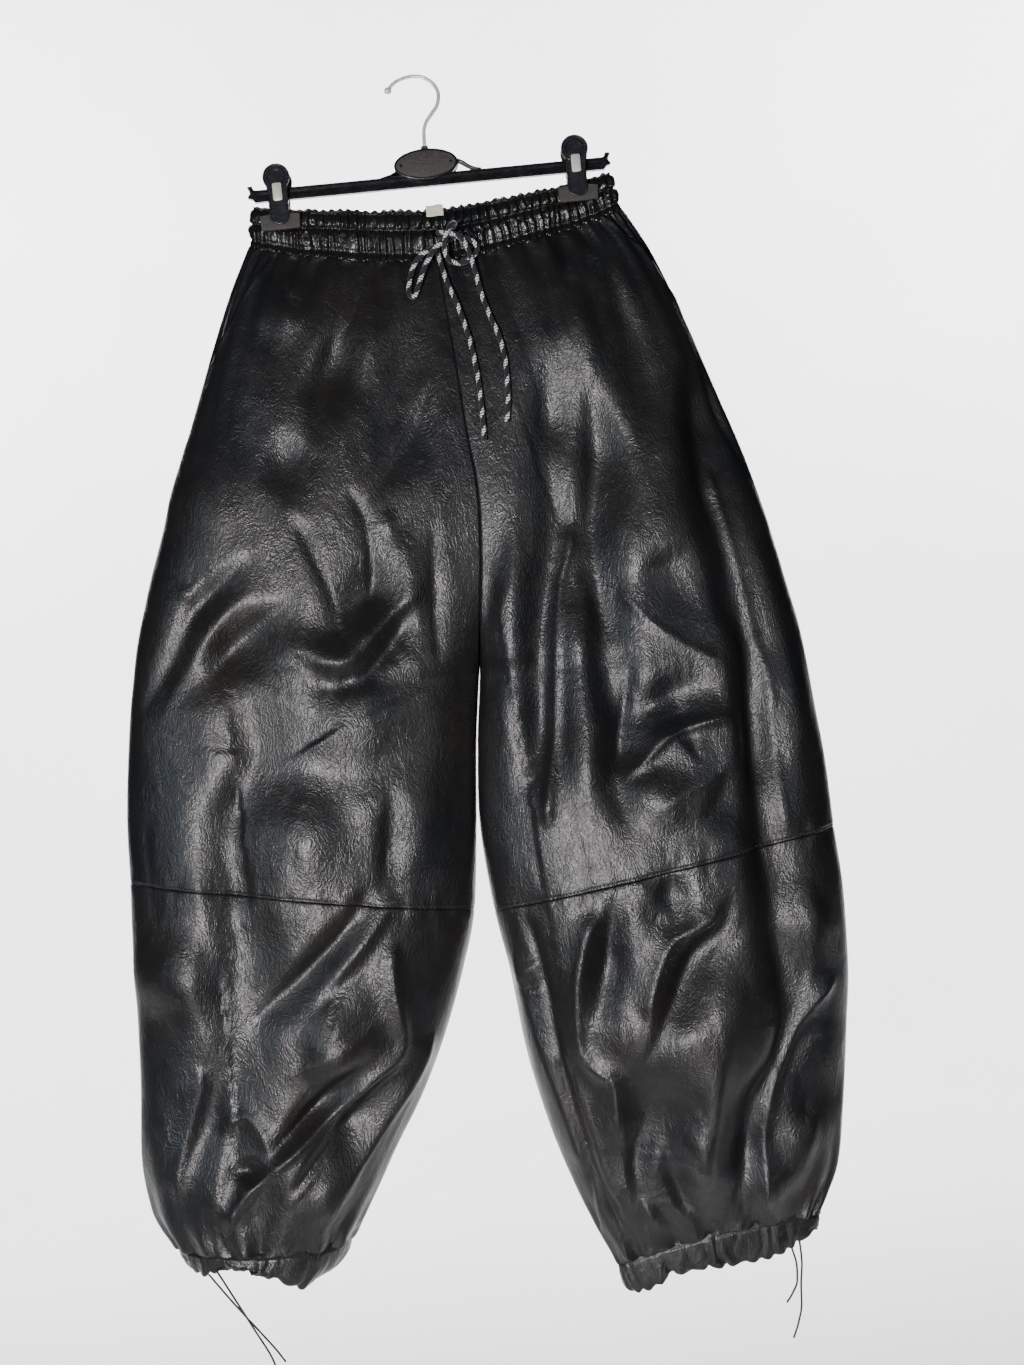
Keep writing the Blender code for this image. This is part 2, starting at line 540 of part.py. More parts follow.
def hem(half, material):
    """The gathered drawcord channel round one ankle."""
    gathers = HEM_GATHERS[half]
    per_face = gathers * COLUMNS_PER_GATHER // 2
    rows = np.array([HEM_ROW + 0.002, HEM_ROW + 0.055, EDGE_ROW])
    row = np.repeat(rows[:, None], per_face, axis=1)
    parts = []
    for face in ("front", "back"):
        shares = (np.arange(per_face) + 0.5) / per_face
        turn = even_turns(half, face, rows, shares)
        outer = bare_form(half, face, turn, row)
        normal = outward(half, face, turn, row, bare_form)
        if face == "back":
            outer, normal = outer[:, ::-1], normal[:, ::-1]
        parts.append((outer, normal))
    outer = np.concatenate([p[0] for p in parts], axis=1)
    normal = np.concatenate([p[1] for p in parts], axis=1)
    number = np.arange(outer.shape[1])
    wave = np.array([1.0, -0.3, -0.8])[number % 3] * (1 + 0.3 * np.sin(number * 1.3))
    deep = np.array([0.25, 1.0, 1.6])
    rise = deep[:, None] * wave[None, :]
    outer = outer + normal * rise[..., None]
    return cloth_solid("hem_" + half, outer, outer - normal * HEM_WALL, material, closed=True)


def slab(name, outline, y_front, y_back, material, smooth=False):
    """A flat plate: an outline of x, z points given a thickness along Y."""
    count = len(outline)
    verts = [(x, y_front, z) for x, z in outline] + [(x, y_back, z) for x, z in outline]
    faces = [tuple(range(count)), tuple(range(2 * count - 1, count - 1, -1))]
    for k in range(count):
        n = (k + 1) % count
        faces.append((k, k + count, n + count, n))
    return new_object(name, verts, faces, material, smooth)


def arc(centre_x, centre_z, radius_x, radius_z, start, end, count):
    """Points on part of an oval, angles in degrees."""
    angles = np.radians(np.linspace(start, end, count))
    return [(centre_x + radius_x * math.cos(a), centre_z + radius_z * math.sin(a)) for a in angles]


def round_bar(name, route, radii, sides, material):
    """A round bar swept along a route in the plane y = 0, with its own radius at each point."""
    route = np.asarray(route, float)
    along = np.gradient(route, axis=0)
    along /= np.linalg.norm(along, axis=1, keepdims=True)
    across = np.stack([-along[:, 1], along[:, 0]], axis=1)
    verts = []
    for k, (x, z) in enumerate(route):
        for s in range(sides):
            a = 2 * math.pi * s / sides
            r = radii[k]
            verts.append((x + across[k, 0] * r * math.cos(a), r * math.sin(a),
                          z + across[k, 1] * r * math.cos(a)))
    faces = [tuple(range(sides))]
    for k in range(len(route) - 1):
        for s in range(sides):
            n = (s + 1) % sides
            faces.append((k * sides + s, k * sides + n, (k + 1) * sides + n, (k + 1) * sides + s))
    last = (len(route) - 1) * sides
    faces.append(tuple(last + s for s in range(sides)))
    return new_object(name, verts, faces, material)


def smooth_route(points, spacing):
    """Points on a smooth curve through the route points, about one spacing apart."""
    points = np.asarray(points, float)
    chord = np.linalg.norm(np.diff(points, axis=0), axis=1)
    at = np.concatenate([[0], np.cumsum(np.sqrt(chord))])
    fine = np.linspace(0, at[-1], 600)
    line = np.stack([curve_through(at, points[:, c], fine) for c in range(points.shape[1])], axis=1)
    length = np.concatenate([[0], np.cumsum(np.linalg.norm(np.diff(line, axis=0), axis=1))])
    count = max(int(round(length[-1] / spacing)), 6)
    wanted = np.linspace(0, length[-1], count + 1)
    return np.stack([np.interp(wanted, length, line[:, c]) for c in range(points.shape[1])], axis=1)


def cord(name, route, width, spacing, material):
    """A round cord along its route."""
    points = smooth_route(route, spacing)
    data = bpy.data.curves.new(name, "CURVE")
    data.dimensions = "3D"
    data.bevel_depth = width * MM / 2
    data.bevel_resolution = 2
    data.use_fill_caps = True
    spline = data.splines.new("POLY")
    spline.points.add(len(points) - 1)
    for k, (x, y, z) in enumerate(points):
        spline.points[k].co = (x * MM, y * MM, z * MM, 1)
    spline.use_smooth = True
    thing = bpy.data.objects.new(name, data)
    bpy.context.scene.collection.objects.link(thing)
    data.materials.append(material)
    return thing


# ------------------------------------------------------------------ hanger, label

def hanger(black, grain, wire):
    """Bar with its pad and hook."""
    left, right = BAR_LEFT, BAR_RIGHT
    outline = [(left, BAR_TOP + 3), (left + 5, BAR_TOP + 4), (left + 6, BAR_TOP), (HANGER_X - 46, BAR_TOP)]
    outline += arc(HANGER_X, PAD_Z, PAD_HALF_WIDTH, PAD_HALF_HEIGHT, 168, 102, 8)
    outline += [(HANGER_X - 5, -63.2), (HANGER_X + 5, -63.2)]
    outline += arc(HANGER_X, PAD_Z, PAD_HALF_WIDTH, PAD_HALF_HEIGHT, 78, 12, 8)
    outline += [(HANGER_X + 46, BAR_TOP), (right - 6, BAR_TOP), (right - 5, BAR_TOP + 4), (right, BAR_TOP + 3),
                (right, -97.0), (right - 4, -98.0), (right - 7, BAR_BOTTOM), (left + 7, BAR_BOTTOM),
                (left + 4, -98.0), (left, -97.0)]
    slab("hanger_body", outline, -BAR_HALF_DEPTH, BAR_HALF_DEPTH, black)
    oval = arc(HANGER_X, PAD_Z, PAD_HALF_WIDTH, PAD_HALF_HEIGHT, 0, 360, 29)[:-1]
    inner_face = BAR_HALF_DEPTH + 0.3
    slab("hanger_pad_front", oval, -inner_face - PAD_THICK, -inner_face, grain)
    slab("hanger_pad_back", oval, inner_face, inner_face + PAD_THICK, grain)
    route = smooth_route(HOOK_ROUTE, 4.5)
    radii = np.full(len(route), HOOK_WIRE / 2)
    radii[:3] = (1.2, HOOK_BALL, 2.2)
    route[0] = route[1] + (route[0] - route[1]) * 0.7
    round_bar("hanger_hook", route, radii, 10, wire)


def clip(word, x, plastic, grain, brass):
    """One sliding clip, built plainly: a saddle over the bar, two tongues, two grip pads, a spring."""
    half = SADDLE_WIDTH / 2
    front_of_saddle = GRIP_FACE + GRIP_THICK
    slot = BAR_HALF_DEPTH + 0.4
    slot_top = BAR_TOP + 0.5
    verts = []
    profile = ((-front_of_saddle, SADDLE_TOP), (front_of_saddle, SADDLE_TOP), (front_of_saddle, SADDLE_BOTTOM),
               (slot, SADDLE_BOTTOM), (slot, slot_top), (-slot, slot_top), (-slot, SADDLE_BOTTOM),
               (-front_of_saddle, SADDLE_BOTTOM))
    for px in (x - half, x + half):
        verts += [(px, y, z) for y, z in profile]
    count = len(profile)
    faces = [tuple(range(count)), tuple(range(2 * count - 1, count - 1, -1))]
    for k in range(count):
        n = (k + 1) % count
        faces.append((k, k + count, n + count, n))
    new_object("clip_saddle_" + word, verts, faces, plastic, False)
    head = TONGUE_HEAD / 2
    wide = TONGUE_WIDTH / 2
    shape = arc(x, TONGUE_TOP - head, head, head, 215, -35, 15)
    shape += [(x + wide, TONGUE_TOP - 2 * head)]
    shape += arc(x, TONGUE_BOTTOM + 7, wide, 7, 0, -180, 9)
    shape += [(x - wide, TONGUE_TOP - 2 * head)]
    grip = [(x - GRIP_WIDTH / 2, GRIP_TOP), (x + GRIP_WIDTH / 2, GRIP_TOP),
            (x + GRIP_WIDTH / 2, GRIP_BOTTOM), (x - GRIP_WIDTH / 2, GRIP_BOTTOM)]
    for face, way in (("front", -1), ("back", 1)):
        slab("clip_grip_" + face + "_" + word, grip, way * GRIP_FACE, way * (GRIP_FACE + GRIP_THICK), grain)
        near = way * (front_of_saddle + 0.3)
        slab("clip_tongue_" + face + "_" + word, shape, near, near + way * TONGUE_THICK, plastic)
    spring = [(x - SPRING_WIDTH / 2, SPRING_TOP), (x + SPRING_WIDTH / 2, SPRING_TOP),
              (x + SPRING_WIDTH / 2, SPRING_BOTTOM), (x - SPRING_WIDTH / 2, SPRING_BOTTOM)]
    near = -(front_of_saddle + 0.6 + TONGUE_THICK)
    slab("clip_spring_" + word, spring, near, near - SPRING_THICK, brass)


def label(material):
    """The blank loop label, folded over the waistband's front edge."""
    half = LABEL_WIDTH / 2
    front, back, top = -17.9, -10.8, -121.9
    t = LABEL_THICK
    low = top - LABEL_DROP
    profile = ((front, low), (front, top - 1.2), (front + 1.2, top), (back - 1.2, top), (back, top - 1.2),
               (back, low + 2), (back - t, low + 2), (back - t, top - 1.6), (back - 1.6, top - t),
               (front + 1.6, top - t), (front + t, top - 1.6), (front + t, low))
    verts = []
    for px in (LABEL_X - half, LABEL_X + half):
        verts += [(px, y, z) for y, z in profile]
    count = len(profile)
    faces = [tuple(range(count)), tuple(range(2 * count - 1, count - 1, -1))]
    for k in range(count):
        n = (k + 1) % count
        faces.append((k, k + count, n + count, n))
    new_object("waist_label", verts, faces, material, False)


def make_material(name, colour, roughness, metallic=0.0):
    """A plain surface of one colour."""
    material = bpy.data.materials.new(name)
    material.use_nodes = True
    shader = material.node_tree.nodes["Principled BSDF"]
    shader.inputs["Base Color"].default_value = (*colour, 1)
    shader.inputs["Roughness"].default_value = roughness
    shader.inputs["Metallic"].default_value = metallic
    return material


def main():
    for thing in list(bpy.data.objects):
        bpy.data.objects.remove(thing, do_unlink=True)
    leather = make_material("black faux leather", (0.022, 0.023, 0.026), 0.42)
    band_cloth = make_material("shirred faux leather", (0.020, 0.021, 0.024), 0.38)
    black = make_material("black hanger plastic", (0.02, 0.02, 0.022), 0.45)
    slate = make_material("slate clip plastic", (0.10, 0.105, 0.12), 0.45)
    grain = make_material("brown grey grip plastic", (0.16, 0.13, 0.11), 0.6)
    wire = make_material("bright hook wire", (0.75, 0.75, 0.76), 0.2, 1.0)
    brass = make_material("pale brass spring", (0.78, 0.66, 0.42), 0.28, 1.0)
    cream = make_material("cream label ribbon", (0.82, 0.80, 0.74), 0.8)
    braid = make_material("black braided cord", (0.03, 0.03, 0.032), 0.8)
    for face in ("front", "back"):
        band(face, band_cloth)
    for half in ("left", "right"):
        front_upper(half, leather)
        rows = np.linspace(0, KNEE_ROW, UPPER_ROWS + 1)
        panel("back_upper_" + half, half, "back", rows, UPPER_COLUMNS, leather)
        rows = np.linspace(KNEE_ROW, HEM_ROW, LOWER_ROWS + 1)
        for face in ("front", "back"):
            panel(face + "_lower_" + half, half, face, rows, LOWER_COLUMNS, leather)
        hem(half, leather)
    hanger(black, grain, wire)
    clip("left", CLIP_X[0], slate, grain, brass)
    clip("right", CLIP_X[1], slate, grain, brass)
    label(cream)
    for name, route in CORD_ROUTES.items():
        if name.startswith("drawstring"):
            cord(name, route, DRAWCORD_WIDTH, 10.0, braid)
        else:
            cord(name, route, HEM_CORD_WIDTH, 6.0, braid)


main()
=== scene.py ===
"""Black faux leather balloon joggers hanging from a clip hanger, dressed over the fixed frame.

Tables are in millimetres in the garment's own frame, the same as the frame's: +X to the viewer's
right, -Y towards the viewer, +Z up, zero under the hook's crown. Pieces are made in metres.
A place on the trousers is (half, face, turn, row): turn runs from 0 at the centre seam or inseam to 1
at the side seam, and row runs down: -1 waist edge, 0 waist seam, 1 knee seam, 2 hem seam, 2.1 hem edge.
"""

import math

import bmesh
import bpy
import numpy as np
from mathutils import Matrix


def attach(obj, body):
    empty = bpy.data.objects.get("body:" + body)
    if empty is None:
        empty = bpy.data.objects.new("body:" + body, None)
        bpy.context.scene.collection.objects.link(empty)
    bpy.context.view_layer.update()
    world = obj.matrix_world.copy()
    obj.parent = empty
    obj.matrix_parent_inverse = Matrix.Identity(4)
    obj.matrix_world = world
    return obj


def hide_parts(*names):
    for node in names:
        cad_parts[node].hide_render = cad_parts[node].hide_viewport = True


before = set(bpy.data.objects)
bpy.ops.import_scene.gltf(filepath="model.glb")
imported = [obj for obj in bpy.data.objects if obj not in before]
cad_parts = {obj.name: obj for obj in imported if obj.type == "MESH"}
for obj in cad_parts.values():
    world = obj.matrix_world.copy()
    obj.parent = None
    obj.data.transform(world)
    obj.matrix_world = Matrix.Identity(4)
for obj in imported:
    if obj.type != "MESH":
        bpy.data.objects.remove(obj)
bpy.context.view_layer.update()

MM = 0.001
CLOTH = 1.2
KNEE_ROW = 1.0
HEM_ROW = 2.0
EDGE_ROW = 2.1
BAND_GATHERS = 43
HEM_GATHERS = {"left": 22, "right": 24}
CLIP_X = (-132.6, 141.6)
CLIP_HALF_WIDTH = 27
CLIP_PINCH = 0.66

# ---- sections of each half, one line a row of the form ----
# row, outer x, outer z, inner x, inner z, sag power, seam half depth, front fullness, back fullness, shift y
SECTIONS = {
    "left": (
        (-1.00, -158, -103, 8, -124, 1.5, 14, 1, 1, 0),
        (-0.60, -161, -118, 8, -142, 1.5, 15, 2, 2, 0),
        (0.00, -164, -138, 8, -170, 1.8, 15, 3, 4, 0),
        (0.06, -184, -178, 10, -205, 1.6, 20, 8, 10, 0),
        (0.16, -212, -245, 15, -265, 1.3, 27, 13, 17, 1),
        (0.28, -238, -315, 19, -330, 1.2, 32, 17, 22, 3),
        (0.39, -263, -380, 24, -390, 1.1, 34, 21, 27, 4),
        (0.49, -285, -440, 21, -447, 1.0, 31, 27, 33, 4),
        (0.59, -303, -500, 14, -505, 1.0, 22, 36, 41, 3),
        (0.64, -309, -530, 11, -535, 1.0, 12, 44, 48, 2),
        (0.675, -313, -551, 8, -557, 1.0, 0, 52, 55, 1),
        (0.77, -321, -606, 0, -616, 1.0, 0, 54, 56, 0),
        (0.89, -327, -663, -7, -690, 1.0, 0, 56, 56, -2),
        (1.00, -329, -711, -16, -765, 1.0, 0, 58, 57, -4),
        (1.16, -332, -765, -32, -820, 1.0, 0, 60, 58, -4),
        (1.34, -334, -835, -56, -882, 1.0, 0, 61, 58, -3),
        (1.52, -337, -905, -83, -936, 1.0, 0, 60, 58, -1),
        (1.68, -342, -965, -106, -973, 1.0, 0, 60, 58, 1),
        (1.84, -337, -1010, -131, -1016, 1.0, 0, 59, 58, 2),
        (2.00, -317, -1048, -158, -1058, 1.0, 0, 57, 57, 2),
        (2.10, -305, -1064, -187, -1082, 1.0, 0, 56, 56, 2),
    ),
    "right": (
        (-1.00, 174, -103, 8, -124, 1.5, 14, 1, 1, 0),
        (-0.60, 176, -117, 8, -142, 1.5, 15, 2, 2, 0),
        (0.00, 180, -136, 8, -170, 1.8, 15, 3, 4, 0),
        (0.06, 202, -177, 10, -205, 1.6, 20, 8, 10, 0),
        (0.16, 228, -245, 15, -265, 1.3, 27, 13, 17, 1),
        (0.28, 251, -315, 19, -330, 1.2, 32, 17, 22, 3),
        (0.39, 272, -380, 24, -390, 1.1, 34, 21, 27, 4),
        (0.49, 287, -440, 21, -447, 1.0, 31, 27, 33, 4),
        (0.59, 299, -500, 14, -505, 1.0, 22, 36, 41, 3),
        (0.64, 305, -530, 11, -535, 1.0, 12, 44, 48, 2),
        (0.675, 308, -551, 8.6, -557, 1.0, 0, 52, 55, 1),
        (0.77, 313, -606, 1, -616, 1.0, 0, 54, 56, 0),
        (0.89, 318, -663, -4, -690, 1.0, 0, 56, 56, -2),
        (1.00, 320, -721, 2, -768, 1.0, 0, 58, 57, -4),
        (1.16, 323, -780, 11, -825, 1.0, 0, 60, 58, -4),
        (1.34, 321, -848, 18, -893, 1.0, 0, 60, 58, -2),
        (1.52, 314, -905, 30, -955, 0.9, 0, 57, 55, 1),
        (1.68, 305, -972, 45, -1008, 0.8, 0, 50, 48, 4),
        (1.84, 295, -1028, 64, -1060, 0.6, 0, 38, 37, 7),
        (2.00, 273, -1076, 84, -1104, 0.45, 0, 27, 27, 9),
        (2.10, 268, -1090, 94, -1129, 0.45, 0, 23, 23, 10),
    ),
}
CROTCH_ROW = 0.675

# ---- lower edge of each hem as it hangs: x, z ----
HEM_EDGE = {
    "left": (
        (-306, -1063), (-290, -1067), (-275, -1061), (-262, -1058), (-246, -1061), (-236, -1069),
        (-225, -1071), (-214, -1080), (-201, -1088), (-187, -1082),
    ),
    "right": (
        (93, -1129), (110, -1128), (122, -1123), (128, -1113), (150, -1114), (166, -1111),
        (185, -1111), (205, -1110), (225, -1108), (240, -1103), (251, -1096), (268, -1089),
    ),
}

# ---- slash mouth of each pocket: x, z from the waist seam down to the side seam ----
SLASH = {
    "left": ((-139, -146), (-176, -192), (-184, -208), (-214, -250)),
    "right": ((163, -144), (194, -176), (206, -196), (222, -228)),
}
POCKET_ROW = 0.16
MOUTH_RISE = 1.0

# ---- largest folds: half and face by their first letters, width, rise, then x, z of each point along it ----
FOLDS = (
    ("LF", 14, -7, -305, -570, -265, -512, -238, -469, -196, -435, -172, -418),
    ("LF", 14, 6, -288, -575, -248, -513, -216, -476, -175, -451),
    ("LF", 18, -9, -246, -560, -211, -510, -183, -490, -143, -467),
    ("LF", 13, 9, -185, -523, -151, -514, -121, -527, -104, -530, -86, -517, -60, -489, -26, -461),
    ("LF", 26, -6, -146, -480, -109, -490, -69, -455, -46, -423),
    ("LF", 32, 6, -146, -560, -109, -589, -118, -638),
    ("LF", 12, -5, -40, -477, -82, -521, -108, -543, -126, -572),
    ("LF", 23, -10, -208, -516, -198, -560, -193, -599, -220, -662, -232, -718, -239, -775),
    ("LF", 22, -10, -225, -677, -226, -736, -231, -795, -237, -849, -257, -900, -280, -959, -291, -1013,
     -294, -1049),
    ("LF", 11, -4, -77, -625, -83, -687, -95, -738, -114, -755),
    ("LF", 22, 5, -43, -599, -58, -677, -69, -741),
    ("LF", 26, 5, -177, -619, -167, -687, -155, -746),
    ("LF", 18, 3, -173, -204, -131, -214, -101, -202),
    ("LF", 15, -3, -81, -220, -109, -265, -141, -294),
    ("LF", 12, -3, -7, -285, -38, -347, -69, -382),
    ("LF", 28, 3, -206, -296, -216, -374, -248, -443),
    ("LF", 14, -4, -146, -306, -148, -355, -145, -389),
    ("LF", 14, 5, -64, -404, -48, -443, -42, -521),
    ("LF", 14, -10, -95, -718, -105, -734, -134, -773, -173, -806, -216, -839, -234, -859),
    ("LF", 12, 7, -75, -738, -92, -753, -123, -787, -158, -820, -179, -843),
    ("LF", 24, 8, -185, -859, -153, -877, -167, -914),
    ("LF", 20, 7, -273, -746, -284, -806, -282, -853),
    ("LF", 13, -12, -105, -875, -146, -906, -191, -941, -226, -975),
    ("LF", 12, -10, -83, -884, -134, -936, -183, -980, -216, -1019),
    ("LF", 11, -5, -239, -961, -239, -990),
    ("RF", 18, -11, 101, -250, 94, -349, 90, -425, 81, -473, 67, -529, 60, -582, 52, -688),
    ("RF", 14, 6, 53, -402, 45, -497, 41, -580, 35, -667),
    ("RF", 15, -10, 136, -281, 135, -360, 124, -439, 125, -504, 125, -565, 131, -604, 124, -657, 126, -718),
    ("RF", 14, 5, 111, -465, 107, -510, 99, -563, 98, -639, 96, -704),
    ("RF", 32, 3, 169, -379, 175, -433, 178, -521),
    ("RF", 18, -5, 149, -489, 179, -476, 217, -458),
    ("RF", 20, -8, 140, -620, 163, -596, 195, -584, 230, -587),
    ("RF", 22, 5, 185, -651, 167, -684, 149, -712),
    ("RF", 14, -5, 229, -652, 213, -688, 190, -713),
    ("RF", 17, -11, 228, -262, 232, -339, 233, -431, 242, -489, 253, -555, 254, -631, 252, -692),
    ("RF", 16, -11, 253, -578, 253, -639, 254, -751, 255, -789, 259, -839, 261, -885, 248, -922, 225, -958),
    ("RF", 16, -11, 266, -870, 247, -922, 222, -958, 209, -1006, 197, -1054, 193, -1081),
    ("RF", 13, 8, 198, -891, 183, -958, 171, -1018, 180, -1072),
    ("RF", 13, -10, 140, -969, 141, -1015, 151, -1054, 163, -1078),
    ("RF", 12, 6, 282, -960, 262, -1011, 246, -1059),
    ("RF", 12, 5, 216, -383, 230, -461, 241, -527, 239, -592, 236, -652, 241, -706),
    ("RF", 14, 5, 266, -442, 283, -539, 291, -616, 292, -692),
    ("RF", 12, -9, 114, -749, 102, -797, 92, -842, 82, -887),
    ("RF", 19, -11, 96, -896, 118, -932, 120, -963, 107, -996, 105, -1042, 115, -1073),
    ("RF", 20, -6, 134, -755, 160, -769, 188, -775),
    ("RF", 13, -9, 219, -759, 203, -796, 176, -820, 155, -860, 136, -896, 116, -925),
    ("RF", 30, 9, 191, -806, 189, -874, 176, -934, 162, -979),
    ("RF", 24, 8, 165, -948, 156, -1001, 157, -1039, 164, -1080),
    ("RF", 14, 7, 234, -986, 227, -1031, 228, -1069, 233, -1081),
    ("RF", 15, 6, 283, -754, 286, -808, 298, -839, 308, -852),
    ("LF", 20, 8, -146, -922, -171, -980, -191, -1029, -208, -1063),
    ("LF", 14, 7, -255, -922, -269, -980, -282, -1039),
    ("RF", 15, -5, 291, -907, 275, -959, 259, -1003),
    ("RF", 15, -5, 162, -195, 172, -248, 177, -321, 178, -384),
    ("RF", 13, 4, 131, -192, 134, -253, 138, -317),
    ("LF", 14, -5, -75, -172, -87, -232, -111, -293, -133, -354),
    ("LF", 13, 4, -51, -174, -58, -235, -77, -296),
    ("LF", 14, -4, -15, -178, -28, -247, -53, -326, -71, -387),
    ("LB", 18, -8, -60, -200, -92, -330, -150, -440, -240, -520),
    ("LB", 18, 8, -35, -230, -58, -340, -110, -450, -200, -545),
    ("LB", 20, -9, -120, -560, -170, -640, -190, -760, -215, -900, -240, -1010),
    ("LB", 18, 9, -85, -580, -118, -660, -135, -780, -150, -880),
    ("LB", 16, 7, -225, -560, -250, -650, -262, -760, -280, -880),
    ("LB", 14, 9, -250, -1020, -200, -960, -130, -905, -80, -850),
    ("LB", 14, -8, -225, -1025, -180, -985, -125, -935),
    ("LB", 15, -6, -205, -230, -215, -330, -240, -430),
    ("LB", 16, -6, -30, -590, -48, -680, -52, -780),
    ("RB", 18, -8, 70, -200, 100, -320, 150, -430, 228, -520),
    ("RB", 18, 8, 45, -225, 72, -350, 118, -460, 190, -560),
    ("RB", 18, -10, 120, -560, 150, -650, 160, -770, 150, -900, 140, -1040),
    ("RB", 18, 9, 88, -590, 104, -690, 110, -800, 98, -920, 110, -1040),
    ("RB", 20, 8, 205, -600, 215, -720, 208, -850, 196, -980),
    ("RB", 14, -8, 262, -640, 258, -760, 240, -880, 222, -1000),
    ("RB", 14, 4, 150, -815, 205, -790, 262, -800),
    ("RB", 15, -6, 212, -240, 226, -330, 246, -440),
)

# ---- crisp edges, where the cloth folds sharply: read as FOLDS ----
EDGES = (
    ("LF", 8, 9, -85, -777, -92, -797, -93, -825, -89, -873, -95, -888, -120, -906, -161, -936, -202, -966,
     -235, -990, -254, -1011, -267, -1033),
    ("LF", 8, 7, -60, -868, -81, -906, -109, -945, -160, -1008, -179, -1041),
    ("LF", 6, 3, -139, -946, -175, -978, -214, -1015),
    ("LF", 7, 5, -265, -949, -253, -931, -237, -927, -224, -941, -215, -967),
    ("LF", 7, 6, -281, -873, -274, -892, -288, -931, -302, -972, -308, -1009),
    ("LF", 6, -4, -145, -389, -131, -426, -116, -469, -111, -494),
    ("LF", 6, -4, -95, -369, -79, -409, -77, -447, -86, -494),
    ("LF", 6, -4, -19, -407, -24, -472, -26, -547),
    ("LF", 7, 3, -64, -394, -58, -408, -62, -423),
    ("LF", 6, 3, -255, -443, -247, -455, -234, -462),
    ("RF", 7, 7, 108, -419, 103, -435, 99, -451, 90, -474, 82, -519, 75, -576, 67, -636, 57, -702),
    ("RF", 6, -4, 144, -550, 140, -574, 134, -597, 126, -625, 128, -653),
    ("RF", 5, 3, 135, -480, 164, -516, 192, -541, 237, -570),
    ("RF", 8, 8, 127, -659, 147, -646, 174, -623, 202, -615, 236, -611),
    ("RF", 7, 5, 238, -378, 243, -409, 253, -471, 262, -536, 272, -587, 271, -633, 273, -690, 276, -732),
    ("RF", 6, -6, 26, -765, 35, -801, 41, -837, 47, -891, 55, -942, 72, -1008, 91, -1071),
    ("RF", 8, 6, 52, -880, 64, -942, 79, -1009, 100, -1068),
    ("RF", 8, 5, 14, -797, 28, -874, 46, -945, 64, -1015),
    ("RF", 8, 9, 96, -768, 82, -803, 71, -848, 68, -893, 78, -914, 96, -931, 97, -972, 98, -1018, 102,
     -1049),
    ("RF", 8, 7, 206, -771, 192, -795, 164, -803, 148, -825, 136, -854, 130, -882),
    ("RF", 7, 4, 129, -747, 145, -767, 161, -792),
    ("RF", 7, 4, 104, -851, 108, -882, 109, -913),
    ("RF", 8, 8, 308, -851, 300, -862, 274, -892, 256, -923, 239, -956, 226, -1000, 223, -1046, 226, -1071),
    ("RF", 7, 6, 106, -1032, 119, -1055, 134, -1078),
    ("RF", 7, 5, 129, -1012, 140, -1049, 165, -1075),
    ("RF", 6, -4, 117, -1035, 128, -1055, 145, -1077),
    ("RF", 5, 5, 13, -839, 25, -826, 36, -818, 40, -811),
    ("RF", 5, -4, 16, -845, 31, -836, 42, -834),
    ("RF", 5, 3, 15, -849, 31, -843, 43, -841),
    ("LB", 9, 7, -248, -1022, -200, -962, -130, -907, -82, -852),
    ("LB", 7, 5, -150, -475, -200, -522, -262, -552),
    ("LB", 7, -4, -30, -400, -36, -480, -34, -560),
    ("RB", 8, 6, 92, -760, 104, -830, 98, -920, 112, -1030),
    ("RB", 7, 4, 140, -560, 190, -600, 240, -606),
)

# ---- x, y, z of the points that each cord passes through ----
CORD_ROUTES = {
    "drawstring_one": (
        (31, -18.6, -149.6), (26.5, -23.6, -153), (19, -25.0, -156.5), (9, -25.2, -161), (-4, -24.6, -166),
        (-14, -24.6, -176), (-20, -26.0, -192), (-21.5, -27.6, -202), (-17.5, -28.8, -206),
        (-12.5, -29.6, -198), (-7, -31.4, -185), (3, -33.8, -169), (14, -35.6, -158.5),
        (23, -36.1, -153.6), (31, -35.1, -158), (36.5, -32.3, -170), (40.5, -29.6, -188),
        (44, -29.4, -208), (50, -32.0, -230), (56.5, -34.8, -250), (60, -37.4, -275), (59.5, -39.4, -302),
        (56, -40.8, -329),
    ),
    "drawstring_two": (
        (10, -17.3, -147.2), (16, -25.4, -149.5), (22, -29.9, -153), (31, -29.9, -156.5),
        (41, -28.4, -160.5), (44.5, -26.2, -167), (39, -24.8, -174.5), (28.5, -24.4, -178.5),
        (18.5, -26.2, -175.5), (15.0, -35.2, -167.5), (16.6, -42.4, -158), (20.5, -43.2, -149.5),
        (25.2, -38.8, -144.6), (26.6, -31.0, -143.6), (23.5, -23.4, -145.5), (14.5, -20.1, -152.5),
        (8.2, -20.2, -163), (10.4, -23.6, -178), (14.6, -26.5, -196), (20.5, -28.5, -213),
        (27, -30.8, -237), (31.5, -33.2, -262), (34, -35.8, -290), (34.6, -37.8, -317), (34.4, -39.2, -343),
    ),
    "hem_cord_left_a": (
        (-285.0, -39.8, -1066.6), (-268, -41, -1090), (-245, -42, -1120), (-230, -42, -1140),
        (-223, -42, -1151),
    ),
    "hem_cord_left_b": (
        (-277, -45.2, -1061.9), (-263, -47, -1088), (-247, -49, -1118), (-232, -49, -1150),
        (-228, -48, -1172),
    ),
    "hem_cord_right_a": (
        (243.4, -8.6, -1101.7), (246.5, -8, -1118), (245.5, -9, -1132), (240, -10, -1143),
        (234, -10, -1151),
    ),
    "hem_cord_right_b": (
        (251.3, -6.8, -1096.5), (251, -13, -1112), (248, -15.5, -1134), (246.5, -16, -1153),
        (242, -16, -1169), (236.5, -16, -1182),
    ),
}


# ------------------------------------------------------------------ the form

